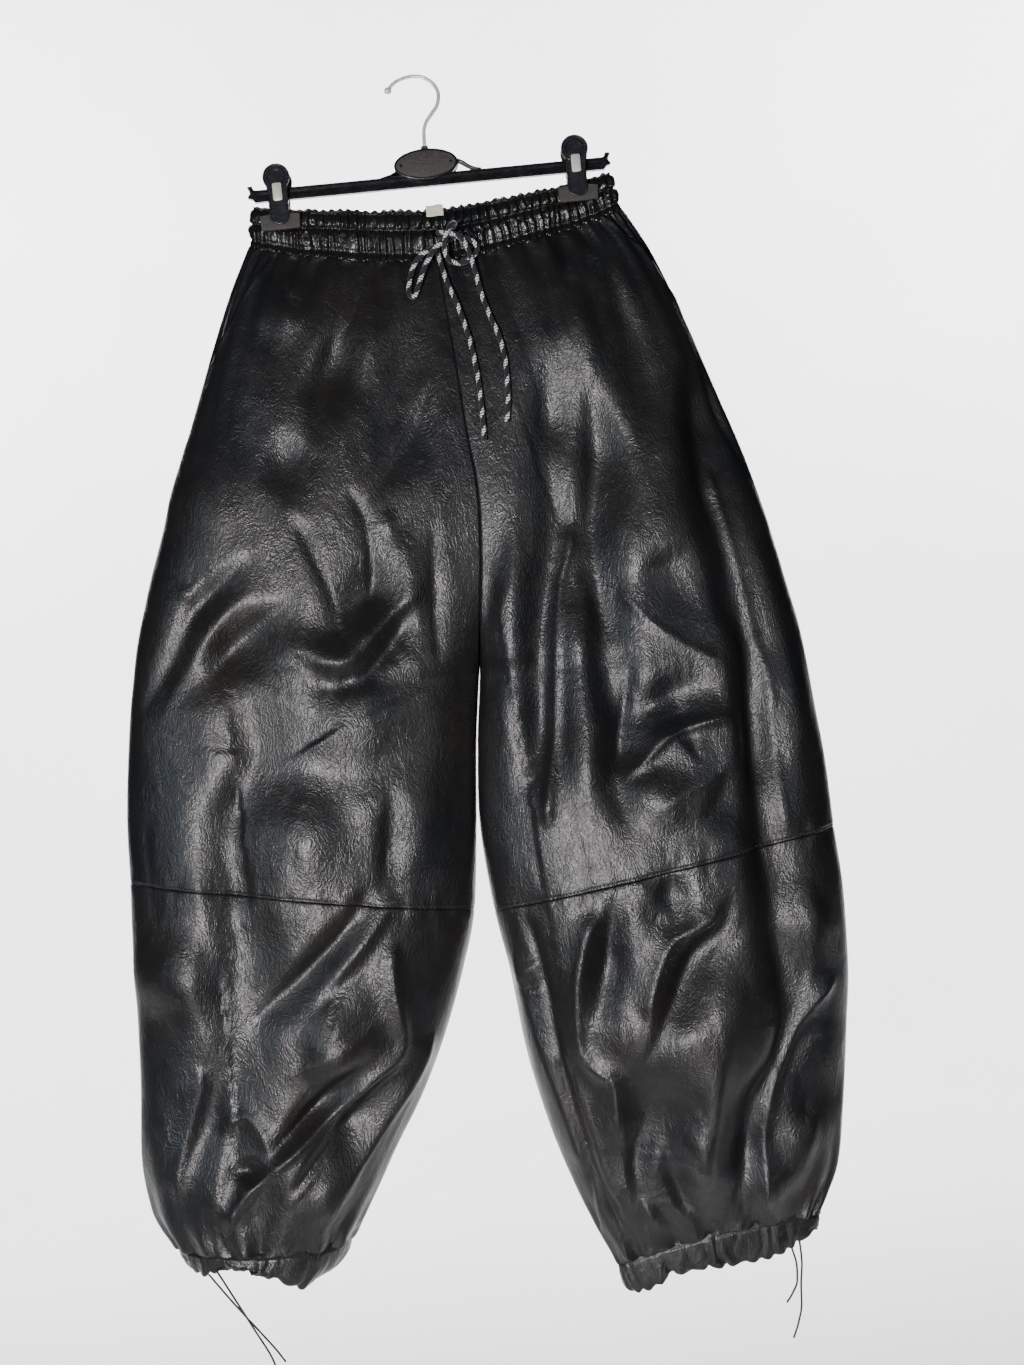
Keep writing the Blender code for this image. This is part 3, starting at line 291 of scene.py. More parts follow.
def curve_through(rows, values, wanted):
    """Smooth curve through the table's values, read at the wanted rows."""
    rows = np.asarray(rows, float)
    values = np.asarray(values, float)
    span = np.diff(rows)
    rate = np.diff(values) / span
    before = rate[:-1]
    after = rate[1:]
    same_way = before * after > 0
    heavy = 2 * span[1:] + span[:-1]
    light = span[1:] + 2 * span[:-1]
    safe_before = np.where(same_way, before, 1.0)
    safe_after = np.where(same_way, after, 1.0)
    middle = (heavy + light) / (heavy / safe_before + light / safe_after)
    slope = np.concatenate([rate[:1], np.where(same_way, middle, 0.0), rate[-1:]])
    wanted = np.clip(np.asarray(wanted, float), rows[0], rows[-1])
    k = np.clip(np.searchsorted(rows, wanted, side="right") - 1, 0, len(rows) - 2)
    span = rows[k + 1] - rows[k]
    t = (wanted - rows[k]) / span
    a = values[k]
    b = values[k + 1]
    flat_a = slope[k] * span
    flat_b = slope[k + 1] * span
    return (a * (2 * t**3 - 3 * t**2 + 1) + b * (3 * t**2 - 2 * t**3)
            + flat_a * (t**3 - 2 * t**2 + t) + flat_b * (t**3 - t**2))


def ease(t):
    """Goes from 0 to 1 with no kink at either end."""
    t = np.clip(t, 0.0, 1.0)
    return t * t * (3 - 2 * t)


def bare_form(half, face, turn, row):
    """Points of the smooth form with no folds, in millimetres."""
    table = np.array(SECTIONS[half], float)
    turn = np.clip(turn, 0.0, 1.0)
    read = [curve_through(table[:, 0], table[:, c], row) for c in range(1, 10)]
    outer_x, outer_z, inner_x, inner_z, sag, seam, front, back, shift = read
    seam = np.maximum(seam, 0.0)
    seam = np.where(row >= CROTCH_ROW, 0.0, seam)
    leg = ease((row - 0.45) / (CROTCH_ROW - 0.45))
    across = (1 - leg) * np.sin(turn * math.pi / 2) + leg * (1 - np.cos(turn * math.pi)) / 2
    x = inner_x + (outer_x - inner_x) * across
    hollow = np.power(np.maximum(across, 1e-9), np.maximum(sag, 1.0))
    arched = 1 - np.power(np.maximum(1 - across, 1e-9), 1 / np.minimum(sag, 1.0))
    level = inner_z + (outer_z - inner_z) * np.where(sag < 1, arched, hollow)
    edge = np.array(HEM_EDGE[half], float)
    drop = np.clip((row - HEM_ROW) / (EDGE_ROW - HEM_ROW), 0.0, 1.0)
    level = level * (1 - drop) + np.interp(x, edge[:, 0], edge[:, 1]) * drop
    side = -1.0 if face == "front" else 1.0
    fullness = front if face == "front" else back
    depth = seam * np.cos(turn * math.pi / 2) + fullness * np.sin(turn * math.pi)
    for clip in CLIP_X:
        near = np.exp(-((x - clip) / CLIP_HALF_WIDTH) ** 4)
        depth = depth * (1 - CLIP_PINCH * near * (1 - ease(row / 0.09)))
    y = side * depth + shift * np.sin(turn * math.pi)
    return np.stack([x, y, level], axis=-1)


def distance_to_line(x, z, line):
    """Shortest way from each place to the line, how far along the line that is, and how far it lies below.

    The last runs from 1 straight below and to the right of the line to -1 above and to the left.
    """
    line = np.asarray(line, float)
    steps = np.hypot(np.diff(line[:, 0]), np.diff(line[:, 1]))
    start = np.concatenate([[0], np.cumsum(steps)])
    best = np.full(x.shape, 1e9)
    along = np.zeros(x.shape)
    below = np.zeros(x.shape)
    for k in range(len(steps)):
        dx = line[k + 1, 0] - line[k, 0]
        dz = line[k + 1, 1] - line[k, 1]
        t = ((x - line[k, 0]) * dx + (z - line[k, 1]) * dz) / (steps[k] ** 2)
        t = np.clip(t, 0, 1)
        off_x = x - line[k, 0] - t * dx
        off_z = z - line[k, 1] - t * dz
        away = np.hypot(off_x, off_z)
        nearer = away < best
        best = np.where(nearer, away, best)
        along = np.where(nearer, (start[k] + t * steps[k]) / start[-1], along)
        below = np.where(nearer, (0.6 * off_x - 0.8 * off_z) / np.maximum(away, 2.0), below)
    return best, along, below


def outward(half, face, turn, row, place):
    """Unit directions out of the form, from small steps along the turn and the row."""
    step = 1e-3
    turn_a = np.clip(turn - step, 0, 1)
    turn_b = np.clip(turn + step, 0, 1)
    along_turn = place(half, face, turn_b, row) - place(half, face, turn_a, row)
    row_a = row - step
    row_b = row + step
    along_row = place(half, face, turn, row_b) - place(half, face, turn, row_a)
    normal = np.cross(along_turn, along_row)
    normal /= np.maximum(np.linalg.norm(normal, axis=-1, keepdims=True), 1e-12)
    flip = -1.0 if (half == "right") != (face == "back") else 1.0
    return flip * normal


def length_along(line):
    """Length from the first point of a line to each of its points."""
    return np.concatenate([[0], np.cumsum(np.linalg.norm(np.diff(line, axis=0), axis=1))])


def even_turns(half, face, rows, shares, ends=None):
    """Turns that share out the length of each row's section evenly, one line of turns a row."""
    fine = np.linspace(0, 1, 121)
    turns = np.empty((len(rows), len(shares)))
    for k, row in enumerate(rows):
        line = bare_form(half, face, fine, np.full(fine.shape, row))
        length = length_along(line)
        last = 1.0 if ends is None else ends[k]
        turns[k] = np.interp(np.asarray(shares) * last * length[-1], length, fine)
    return turns


def smooth_route(points, spacing):
    """Points on a smooth curve through the route points, about one spacing apart."""
    points = np.asarray(points, float)
    chord = np.linalg.norm(np.diff(points, axis=0), axis=1)
    at = np.concatenate([[0], np.cumsum(np.sqrt(chord))])
    fine = np.linspace(0, at[-1], 600)
    line = np.stack([curve_through(at, points[:, c], fine) for c in range(points.shape[1])], axis=1)
    length = length_along(line)
    count = max(int(round(length[-1] / spacing)), 6)
    wanted = np.linspace(0, length[-1], count + 1)
    return np.stack([np.interp(wanted, length, line[:, c]) for c in range(points.shape[1])], axis=1)


# ---- narrower creases between the largest folds: read as FOLDS ----
CREASES = (
    ("LF", 5, -2.6, -5, -275, -28, -318, -45, -345, -80, -400),
    ("LF", 5, -2.4, -256, -1030, -214, -1000, -160, -958, -112, -918),
    ("LF", 4, -2.0, -172, -1050, -138, -1002, -104, -950, -74, -890),
    ("LF", 5, 2.2, -120, -985, -92, -935, -66, -880),
    ("LF", 5, -2.0, -300, -640, -306, -690, -304, -760),
    ("LF", 5, 1.8, -262, -760, -270, -820, -262, -880),
    ("LF", 5, -1.8, -60, -795, -78, -850, -90, -905),
    ("LF", 5, 1.6, -190, -640, -205, -700, -212, -760),
    ("LF", 4, -1.4, -160, -655, -172, -705, -168, -738),
    ("LF", 5, 1.6, -70, -520, -88, -560, -96, -600),
    ("LF", 4, -1.4, -238, -420, -246, -462, -258, -500),
    ("LF", 5, 1.5, -120, -330, -138, -372, -140, -420),
    ("LF", 6, -2.0, -206, -260, -216, -310, -232, -360),
    ("LF", 4, -1.5, -60, -178, -72, -214, -92, -244),
    ("LF", 4, 1.3, -36, -182, -44, -230, -58, -268),
    ("RF", 5, -2.2, 22, -790, 40, -800, 66, -804),
    ("RF", 4, 1.6, 24, -812, 44, -818, 70, -826),
    ("RF", 6, -2.2, 60, -180, 74, -240, 92, -320),
    ("RF", 5, 1.8, 104, -180, 112, -232, 124, -288),
    ("RF", 5, -2.0, 150, -620, 190, -604, 214, -606),
    ("RF", 5, 2.0, 146, -700, 182, -676, 222, -660),
    ("RF", 4, 1.6, 136, -560, 148, -604, 140, -640),
    ("RF", 5, -2.0, 178, -770, 160, -812, 150, -858),
    ("RF", 5, 1.8, 228, -760, 214, -800, 182, -838),
    ("RF", 5, -2.0, 270, -770, 280, -822, 272, -880),
    ("RF", 4, -2.0, 140, -1010, 148, -1050, 150, -1084),
    ("RF", 5, -2.2, 214, -980, 206, -1030, 200, -1070),
    ("RF", 4, 1.8, 168, -1020, 172, -1060, 176, -1084),
    ("RF", 5, -2.0, 236, -500, 250, -560, 256, -620),
    ("RF", 5, 1.6, 206, -330, 220, -400, 236, -460),
    ("RF", 5, -1.6, 20, -420, 24, -500, 18, -580),
    ("LB", 6, -2.4, -30, -200, -70, -300, -130, -400),
    ("LB", 6, 2.0, -250, -700, -262, -790, -286, -880),
    ("LB", 5, -1.8, -110, -640, -130, -700, -134, -742),
    ("RB", 6, -2.4, 30, -200, 72, -300, 140, -410),
    ("RB", 5, -2.2, 110, -900, 124, -980, 130, -1060),
    ("RB", 6, 2.0, 236, -700, 244, -800, 232, -900),
    ("RB", 5, -1.8, 96, -620, 116, -690, 112, -742),
)

FOLD_GAIN = 1.4
EDGE_GAIN = 0.76
FOLD_SPREAD = 0.55
CREASE_GAIN = 0.45

# ---- how many chance creases each face of a leg carries, and their sizes ----
CHANCE_CREASES = 110
CHANCE_LENGTH = (22, 85)
CHANCE_WIDTH = (4.0, 9.0)
CHANCE_RISE = (0.12, 0.55)

# ---- gathers let out into the cloth below the band and above the hems ----
LET_OUT_FOLDS = 8.5
LET_OUT_RISE = 1.7
LET_OUT_FADE = 0.09
PLEAT_RISE = 1.0
PLEAT_FADE = 12.0
HEM_LET_OUT_FOLDS = 7.5
HEM_LET_OUT_RISE = 3.0
HEM_LET_OUT_FADE = 0.16
HEM_PLEAT_RISE = 1.5
HEM_PLEAT_FADE = 20.0
UPPER_LENGTH = 640.0
LOWER_LENGTH = 330.0

# ---- sewing ----
STITCH_LENGTH, STITCH_STEP, STITCH_WIDTH = 2.5, 3.5, 0.75
SEAM_DIP, SEAM_REACH = 0.8, 1.1
WAIST_DIP = 1.8
STITCH_OFF, STITCH_DIP = 2.9, 0.5
PUCKER_RISE, PUCKER_STEP, PUCKER_FADE = 1.5, 10.0, 14.0


# ------------------------------------------------------------------ unevenness, folds

def uneven(u, v, size, seed):
    """Smooth chance field from -1 to 1: chance values on squares of one size, eased between them."""
    table = np.random.default_rng(seed).uniform(-1, 1, (97, 97))
    across = u / size
    down = v / size
    i = np.floor(across).astype(int)
    j = np.floor(down).astype(int)
    s = ease(across - i)
    t = ease(down - j)
    i = i % 96
    j = j % 96
    near = table[j, i] * (1 - s) + table[j, i + 1] * s
    far = table[j + 1, i] * (1 - s) + table[j + 1, i + 1] * s
    return near * (1 - t) + far * t


def tent(away, width):
    """A ridge's section: falls off as a tent with a rounded top, exp of minus the rounded distance."""
    top = 0.38 * width
    return np.exp(-(np.sqrt(away ** 2 + top ** 2) - top) / (0.62 * width))


def crest(away, width):
    """A crisp ridge's section: a tent whose top is rounded only a little."""
    top = 0.22 * width
    return np.exp(-(np.sqrt(away ** 2 + top ** 2) - top) / (0.75 * width))


def hill(away, width):
    """A soft ridge's section: a rounded hill, exp of minus the squared distance."""
    return np.exp(-((away / width) ** 2))


def line_rise(half, face, x, z, table, wander, section, fade):
    """Sum of the table's ridges and troughs, each fading at its ends and uneven along its length."""
    rise = np.zeros(x.shape)
    for number, (which, width, height, *flat) in enumerate(table):
        if which != (half[0] + face[0]).upper():
            continue
        line = smooth_route(np.reshape(flat, (-1, 2)), 8.0)
        length = np.sum(np.hypot(np.diff(line[:, 0]), np.diff(line[:, 1])))
        share = min(fade / length, 0.5)
        reach = 5.5 * width
        close = (x > line[:, 0].min() - reach) & (x < line[:, 0].max() + reach)
        close = close & (z > line[:, 1].min() - reach) & (z < line[:, 1].max() + reach)
        if not close.any():
            continue
        near_x = x[close]
        near_z = z[close]
        away, along, below = distance_to_line(near_x, near_z, line)
        ends = ease(along / share) * ease((1 - along) / share)
        lean = 1.2 - 0.5 * below * math.copysign(1.0, height)
        swell = 1 + 0.22 * uneven(near_x + 31 * number, near_z, wander, 5)
        rise[close] += height * ends * swell * section(away, width * lean * (0.55 + 0.45 * ends))
    return rise


def chance_creases(half, face, x, z):
    """Small creases strewn over one face of a leg: short bent lines from a seeded draw."""
    seed = {"left": 11, "right": 23}[half] + (0 if face == "front" else 7)
    draw = np.random.default_rng(seed)
    low, high = x.min(), x.max()
    bottom, top = -1050.0, -175.0
    rise = np.zeros(x.shape)
    for _ in range(CHANCE_CREASES):
        cx = draw.uniform(low + 12, high - 12)
        cz = draw.uniform(bottom, top)
        length = draw.uniform(*CHANCE_LENGTH)
        lean = draw.normal(0.0, 0.45)
        if cz < -790:
            lean += 0.55 if half == "left" else -0.25
        width = draw.uniform(*CHANCE_WIDTH)
        height = draw.uniform(*CHANCE_RISE) * draw.choice((-1.0, 1.0))
        bend = draw.uniform(-0.12, 0.12) * length
        way = np.array((-math.sin(lean), -math.cos(lean)))
        side = np.array((way[1], -way[0]))
        mid = np.array((cx, cz))
        line = np.stack([mid - way * length / 2, mid + side * bend, mid + way * length / 2])
        close = (abs(x - cx) < length / 2 + 4 * width) & (abs(z - cz) < length / 2 + 4 * width)
        if not close.any():
            continue
        away, along, _ = distance_to_line(x[close], z[close], line)
        rise[close] += height * ease(along / 0.35) * ease((1 - along) / 0.35) * tent(away, width)
    return rise


def cloth_rise(half, face, turn, row, place):
    """How far the cloth stands off the smooth form: folds, creases, gathers let out, seam puckers."""
    x = place[..., 0]
    z = place[..., 2]
    wide = [(which, width + FOLD_SPREAD * (width - 10), *rest) for which, width, *rest in FOLDS]
    main = FOLD_GAIN * line_rise(half, face, x, z, wide, 46.0, hill, 90.0)
    main = main + EDGE_GAIN * line_rise(half, face, x, z, EDGES, 40.0, crest, 26.0)
    fine = CREASE_GAIN * line_rise(half, face, x, z, CREASES, 30.0, tent, 30.0)
    fine = fine + chance_creases(half, face, x, z)
    phase = 0.7 if face == "front" else 2.1
    below_band = np.exp(-(np.maximum(row, 0) / LET_OUT_FADE)) * ease(row / 0.015)
    main = main + LET_OUT_RISE * below_band * np.sin(2 * math.pi * LET_OUT_FOLDS * turn + phase)
    above_hem = np.exp(-(np.maximum(HEM_ROW - row, 0) / HEM_LET_OUT_FADE)) * (row > KNEE_ROW)
    main = main + HEM_LET_OUT_RISE * above_hem * np.sin(2 * math.pi * HEM_LET_OUT_FOLDS * turn + phase)
    below = np.maximum(row, 0) * UPPER_LENGTH
    wander = 0.30 * uneven(x, z, 14.0, 3)
    pleats = np.cos(2 * math.pi * (BAND_GATHERS / 2 * turn + wander))
    reach = PLEAT_FADE * (1 + 0.6 * uneven(x, z * 0.1, 17.0, 9))
    fine = fine + PLEAT_RISE * pleats * np.exp(-below / reach)
    above = np.maximum(HEM_ROW - row, 0) * LOWER_LENGTH
    pleats = np.cos(2 * math.pi * (HEM_GATHERS[half] / 2 * turn + wander))
    fine = fine + HEM_PLEAT_RISE * pleats * np.exp(-above / HEM_PLEAT_FADE) * (row > KNEE_ROW)
    from_knee = np.where(row > KNEE_ROW, (row - KNEE_ROW) * LOWER_LENGTH, (KNEE_ROW - row) * UPPER_LENGTH)
    pucker = uneven(x, z * 0.25, PUCKER_STEP, 21) + 0.6 * uneven(x, z * 0.3, PUCKER_STEP / 2, 22)
    reach = np.where(row > KNEE_ROW, 0.5, 1.0) * PUCKER_FADE
    fine = fine + PUCKER_RISE * pucker * np.exp(-from_knee / reach)
    soft = 1.7 * uneven(1.5 * x + 0.1 * z, 0.5 * z, 58.0, 31)
    soft = soft + 0.5 * uneven(1.4 * x + 0.3 * z, 0.5 * z, 27.0, 32)
    long_edge = ease(turn / 0.10) * ease((1 - turn) / 0.08)
    short_edge = ease(row / 0.02) * ease((HEM_ROW + 0.02 - row) / 0.04)
    narrow = ease(turn / 0.025) * ease((1 - turn) / 0.025)
    grooves = SEAM_DIP * np.exp(-from_knee / SEAM_REACH) + WAIST_DIP * np.exp(-below / 3.0)
    grooves = grooves + SEAM_DIP * np.exp(-above / SEAM_REACH)
    sewn = np.exp(-(((from_knee - STITCH_OFF) / 0.9) ** 2)) * (row < KNEE_ROW)
    grooves = grooves + STITCH_DIP * sewn
    return (main + soft) * long_edge * short_edge + fine * narrow - grooves


def dressed(half, face, turn, row):
    """Points of the cloth's outer face with everything on it, and the directions out of it."""
    base = bare_form(half, face, turn, row)
    normal = outward(half, face, turn, row, bare_form)
    rise = cloth_rise(half, face, turn, row, base)
    return base + normal * rise[..., None], normal, rise


# ------------------------------------------------------------------ meshes

def quads_of(count_r, count_c, closed):
    """Corner numbers of the squares of a grid; closed joins the last column to the first."""
    r = np.arange(count_r - 1)[:, None]
    c = np.arange(count_c if closed else count_c - 1)[None, :]
    d = (c + 1) % count_c
    corners = (r * count_c + c, r * count_c + d, (r + 1) * count_c + d, (r + 1) * count_c + c)
    return np.stack(np.broadcast_arrays(*corners), axis=-1).reshape(-1, 4)


def mesh_object(name, points, faces, material, smooth=True):
    """An object at the origin from points in millimetres."""
    mesh = bpy.data.meshes.new(name)
    mesh.from_pydata((np.asarray(points, float) * MM).tolist(), [], [tuple(f) for f in faces])
    mesh.validate()
    mesh.polygons.foreach_set("use_smooth", np.full(len(mesh.polygons), smooth))
    mesh.materials.append(material)
    thing = bpy.data.objects.new(name, mesh)
    bpy.context.scene.collection.objects.link(thing)
    return thing


def give_uv(thing, points_uv):
    """A UV map in metres from one pair of values for each point of the mesh."""
    mesh = thing.data
    corner = np.empty(len(mesh.loops), dtype=np.int32)
    mesh.loops.foreach_get("vertex_index", corner)
    layer = mesh.uv_layers.new(name="cut")
    layer.data.foreach_set("uv", (np.asarray(points_uv, float)[corner] * MM).astype(np.float32).ravel())


def give_value(thing, name, values):
    """A number kept at each point of the mesh."""
    layer = thing.data.attributes.new(name, "FLOAT", "POINT")
    layer.data.foreach_set("value", np.asarray(values, np.float32).ravel())


def skin(name, grid, out, material, thickness, closed=False, uv=None, rise=None):
    """A cloth wall on a grid of points: its outer face as given, its thickness set inwards."""
    faces = quads_of(grid.shape[0], grid.shape[1], closed)
    flat = grid.reshape(-1, 3)
    way = np.cross(flat[faces[:, 2]] - flat[faces[:, 0]], flat[faces[:, 3]] - flat[faces[:, 1]])
    if np.sum(way * out.reshape(-1, 3)[faces[:, 0]]) < 0:
        faces = faces[:, ::-1]
    thing = mesh_object(name, flat, faces, material)
    if uv is not None:
        give_uv(thing, uv.reshape(-1, 2))
    if rise is not None:
        give_value(thing, "rise", rise)
    wall = thing.modifiers.new("wall", "SOLIDIFY")
    wall.thickness = thickness * MM
    wall.offset = -1.0
    wall.use_rim = True
    return thing


def grid_uv(grid):
    """Lengths along and down a grid, in millimetres, measured from its first corner."""
    along = np.linalg.norm(np.diff(grid, axis=1), axis=-1)
    along = np.concatenate([np.zeros((grid.shape[0], 1)), np.cumsum(along, axis=1)], axis=1)
    down = np.linalg.norm(np.diff(grid, axis=0), axis=-1).mean(axis=1)
    down = np.concatenate([[0], np.cumsum(down)])
    return np.stack([along, np.broadcast_to(-down[:, None], along.shape)], axis=-1)


def join(name, things):
    """One object from several, keeping each one's finish."""
    whole = bmesh.new()
    materials = []
    for thing in things:
        mesh = thing.data
        for material in mesh.materials:
            if material not in materials:
                materials.append(material)
        start = len(whole.faces)
        whole.from_mesh(mesh)
        whole.faces.ensure_lookup_table()
        for face in whole.faces[start:]:
            face.material_index = materials.index(mesh.materials[face.material_index])
    for thing in things:
        bpy.data.objects.remove(thing, do_unlink=True)
    mesh = bpy.data.meshes.new(name)
    whole.to_mesh(mesh)
    whole.free()
    for material in materials:
        mesh.materials.append(material)
    thing = bpy.data.objects.new(name, mesh)
    bpy.context.scene.collection.objects.link(thing)
    return thing


def swept(name, grid, material, smooth=True):
    """A closed solid from rings of points, one ring a row, with a face across the first and the last."""
    count = grid.shape[1]
    faces = quads_of(len(grid), count, True).tolist()
    faces.append(list(range(count))[::-1])
    faces.append(list(range((len(grid) - 1) * count, len(grid) * count)))
    thing = mesh_object(name, grid.reshape(-1, 3), faces, material, smooth)
    turn_out(thing)
    return thing


def plate(name, outline, y_front, y_back, rounding, material, crown=0.0):
    """A plate with rounded edges: the outline set in by r(1 - cos a) as the depth goes in by r(1 - sin a).

    The front face is crowned: it stands out by crown times one less the squared distance to the edge.
    """
    edge = np.asarray(outline, float)
    area = np.sum(edge[:, 0] * np.roll(edge[:, 1], -1) - np.roll(edge[:, 0], -1) * edge[:, 1])
    if area < 0:
        edge = edge[::-1]
    before = edge - np.roll(edge, 1, axis=0)
    after = np.roll(edge, -1, axis=0) - edge
    before /= np.linalg.norm(before, axis=1, keepdims=True)
    after /= np.linalg.norm(after, axis=1, keepdims=True)
    way = before + after
    way /= np.maximum(np.linalg.norm(way, axis=1, keepdims=True), 1e-9)
    inward = np.stack([-way[:, 1], way[:, 0]], axis=1)
    side = 1.0 if y_back > y_front else -1.0
    deep = abs(y_back - y_front)
    centre = edge.mean(axis=0)
    rings = []
    for share in (0.25, 0.55, 0.8, 0.93):
        flat = centre + (edge + inward * rounding - centre) * share
        rings.append((flat, y_front - side * crown * (1 - share ** 2)))
    for a in np.radians((90, 60, 30, 0)):
        rings.append((edge + inward * rounding * (1 - math.cos(a)),
                      y_front + side * rounding * (1 - math.sin(a))))
    for a in np.radians((0, 30, 60, 90)):
        rings.append((edge + inward * rounding * (1 - math.cos(a)),
                      y_front + side * (deep - rounding * (1 - math.sin(a)))))
    count = len(edge)
    grid = np.stack([np.stack([flat[:, 0], np.full(count, y), flat[:, 1]], axis=1) for flat, y in rings])
    return swept(name, grid, material)


def turn_out(thing):
    """Turns every face of a closed mesh outwards."""
    work = bmesh.new()
    work.from_mesh(thing.data)
    bmesh.ops.recalc_face_normals(work, faces=work.faces)
    work.to_mesh(thing.data)
    work.free()


def tube(name, path, radius, sides, material, relief=None, flat=1.0):
    """A round profile carried along a path: points = path + r (cos a across + sin a up), ends closed.

    relief gives the change of radius from the place along and the angle; flat squashes the profile.
    """
    path = np.asarray(path, float)
    along = np.gradient(path, axis=0)
    along /= np.linalg.norm(along, axis=1, keepdims=True)
    across = np.cross(along, (0.0, 1.0, 0.0))
    across /= np.maximum(np.linalg.norm(across, axis=1, keepdims=True), 1e-9)
    up = np.cross(across, along)
    angle = np.linspace(0, 2 * math.pi, sides, endpoint=False)
    length = length_along(path)
    size = np.broadcast_to(np.asarray(radius, float), (len(path),))[:, None] * np.ones((1, sides))
    if relief is not None:
        size = size + relief(length[:, None], angle[None, :])
    grid = (path[:, None] + size[..., None] * (np.cos(angle)[None, :, None] * across[:, None]
                                               + flat * np.sin(angle)[None, :, None] * up[:, None]))
    thing = swept(name, grid, material)
    values = np.stack(np.broadcast_arrays(length[:, None], angle[None, :] * 10.0), axis=-1)
    give_uv(thing, values.reshape(-1, 2))
    return thing


def stitches(name, line, out, material):
    """A row of thread stitches along a line of points: each a small spindle let half into the cloth."""
    length = length_along(line)
    starts = np.arange(1.0, length[-1] - STITCH_LENGTH, STITCH_STEP)
    share = np.linspace(0, 1, 6)
    angle = np.linspace(0, 2 * math.pi, 6, endpoint=False)
    at = starts[:, None] + STITCH_LENGTH * share[None, :]
    centre = np.stack([np.interp(at, length, line[:, c]) for c in range(3)], axis=-1)
    lift = np.stack([np.interp(at, length, out[:, c]) for c in range(3)], axis=-1)
    lift /= np.linalg.norm(lift, axis=-1, keepdims=True)
    way = centre[:, -1:] - centre[:, :1]
    way = way / np.linalg.norm(way, axis=-1, keepdims=True) * np.ones((1, 6, 1))
    side = np.cross(way, lift)
    thick = STITCH_WIDTH / 2 * np.sqrt(np.maximum(1 - (2 * share - 1) ** 4, 0.04))
    centre = centre + lift * (0.12 - 0.35 * (2 * share - 1) ** 2)[None, :, None]
    ring = (np.cos(angle)[None, None, :, None] * side[:, :, None]
            + np.sin(angle)[None, None, :, None] * lift[:, :, None])
    grid = centre[:, :, None] + thick[None, :, None, None] * ring
    one = quads_of(6, 6, True)
    caps = np.array([list(range(6)), [35 - k for k in range(6)]])
    faces = []
    for number in range(len(starts)):
        faces += (one + number * 36).tolist()
        faces += (caps + number * 36).tolist()
    thing = mesh_object(name, grid.reshape(-1, 3), faces, material)
    turn_out(thing)
    return thing


# ------------------------------------------------------------------ finishes

CURL_LINES = 11.0
SCUFF_MARK = 0.25


def new_finish(name):
    """A new material, its nodes, its links and its shader."""
    material = bpy.data.materials.new(name)
    material.use_nodes = True
    tree = material.node_tree
    return material, tree.nodes, tree.links, tree.nodes["Principled BSDF"]


def object_places(nodes, links, scale, turn=(0, 0, 0)):
    """Object coordinates in metres, scaled and turned."""
    where = nodes.new("ShaderNodeTexCoord")
    mapping = nodes.new("ShaderNodeMapping")
    mapping.inputs["Scale"].default_value = scale
    mapping.inputs["Rotation"].default_value = turn
    links.new(where.outputs["Object"], mapping.inputs["Vector"])
    return mapping.outputs["Vector"]


def cloud(nodes, links, vector, scale, detail=3.0, rough=0.55, distort=0.0):
    """A noise pattern read at the places."""
    noise = nodes.new("ShaderNodeTexNoise")
    noise.inputs["Scale"].default_value = scale
    noise.inputs["Detail"].default_value = detail
    noise.inputs["Roughness"].default_value = rough
    noise.inputs["Distortion"].default_value = distort
    links.new(vector, noise.inputs["Vector"])
    return noise.outputs["Fac"]


def ramp(nodes, links, value, stops):
    """Values or colours at stops along the given value."""
    node = nodes.new("ShaderNodeValToRGB")
    while len(node.color_ramp.elements) < len(stops):
        node.color_ramp.elements.new(0.5)
    for element, (at, colour) in zip(node.color_ramp.elements, stops):
        element.position = at
        element.color = (*colour, 1) if len(colour) == 3 else colour
    links.new(value, node.inputs["Fac"])
    return node.outputs["Color"]


def span(nodes, links, value, low, high, from_low=0.0, from_high=1.0):
    """The value moved from one span of numbers to another."""
    node = nodes.new("ShaderNodeMapRange")
    node.inputs["From Min"].default_value = from_low
    node.inputs["From Max"].default_value = from_high
    node.inputs["To Min"].default_value = low
    node.inputs["To Max"].default_value = high
    links.new(value, node.inputs["Value"])
    return node.outputs["Result"]


def sums(nodes, links, a, b, kind="ADD"):
    """Two values added, or taken together in another way."""
    node = nodes.new("ShaderNodeMath")
    node.operation = kind
    for socket, value in zip(node.inputs, (a, b)):
        if isinstance(value, (int, float)):
            socket.default_value = value
        else:
            links.new(value, socket)
    return node.outputs["Value"]


def relief(nodes, links, layers, shader):
    """Bumps from several height patterns, each with its own depth in metres, chained into the shader."""
    normal = None
    for height, depth, strength in layers:
        bump = nodes.new("ShaderNodeBump")
        bump.inputs["Distance"].default_value = depth
        bump.inputs["Strength"].default_value = strength
        links.new(height, bump.inputs["Height"])
        if normal is not None:
            links.new(normal, bump.inputs["Normal"])
        normal = bump.outputs["Normal"]
    links.new(normal, shader.inputs["Normal"])


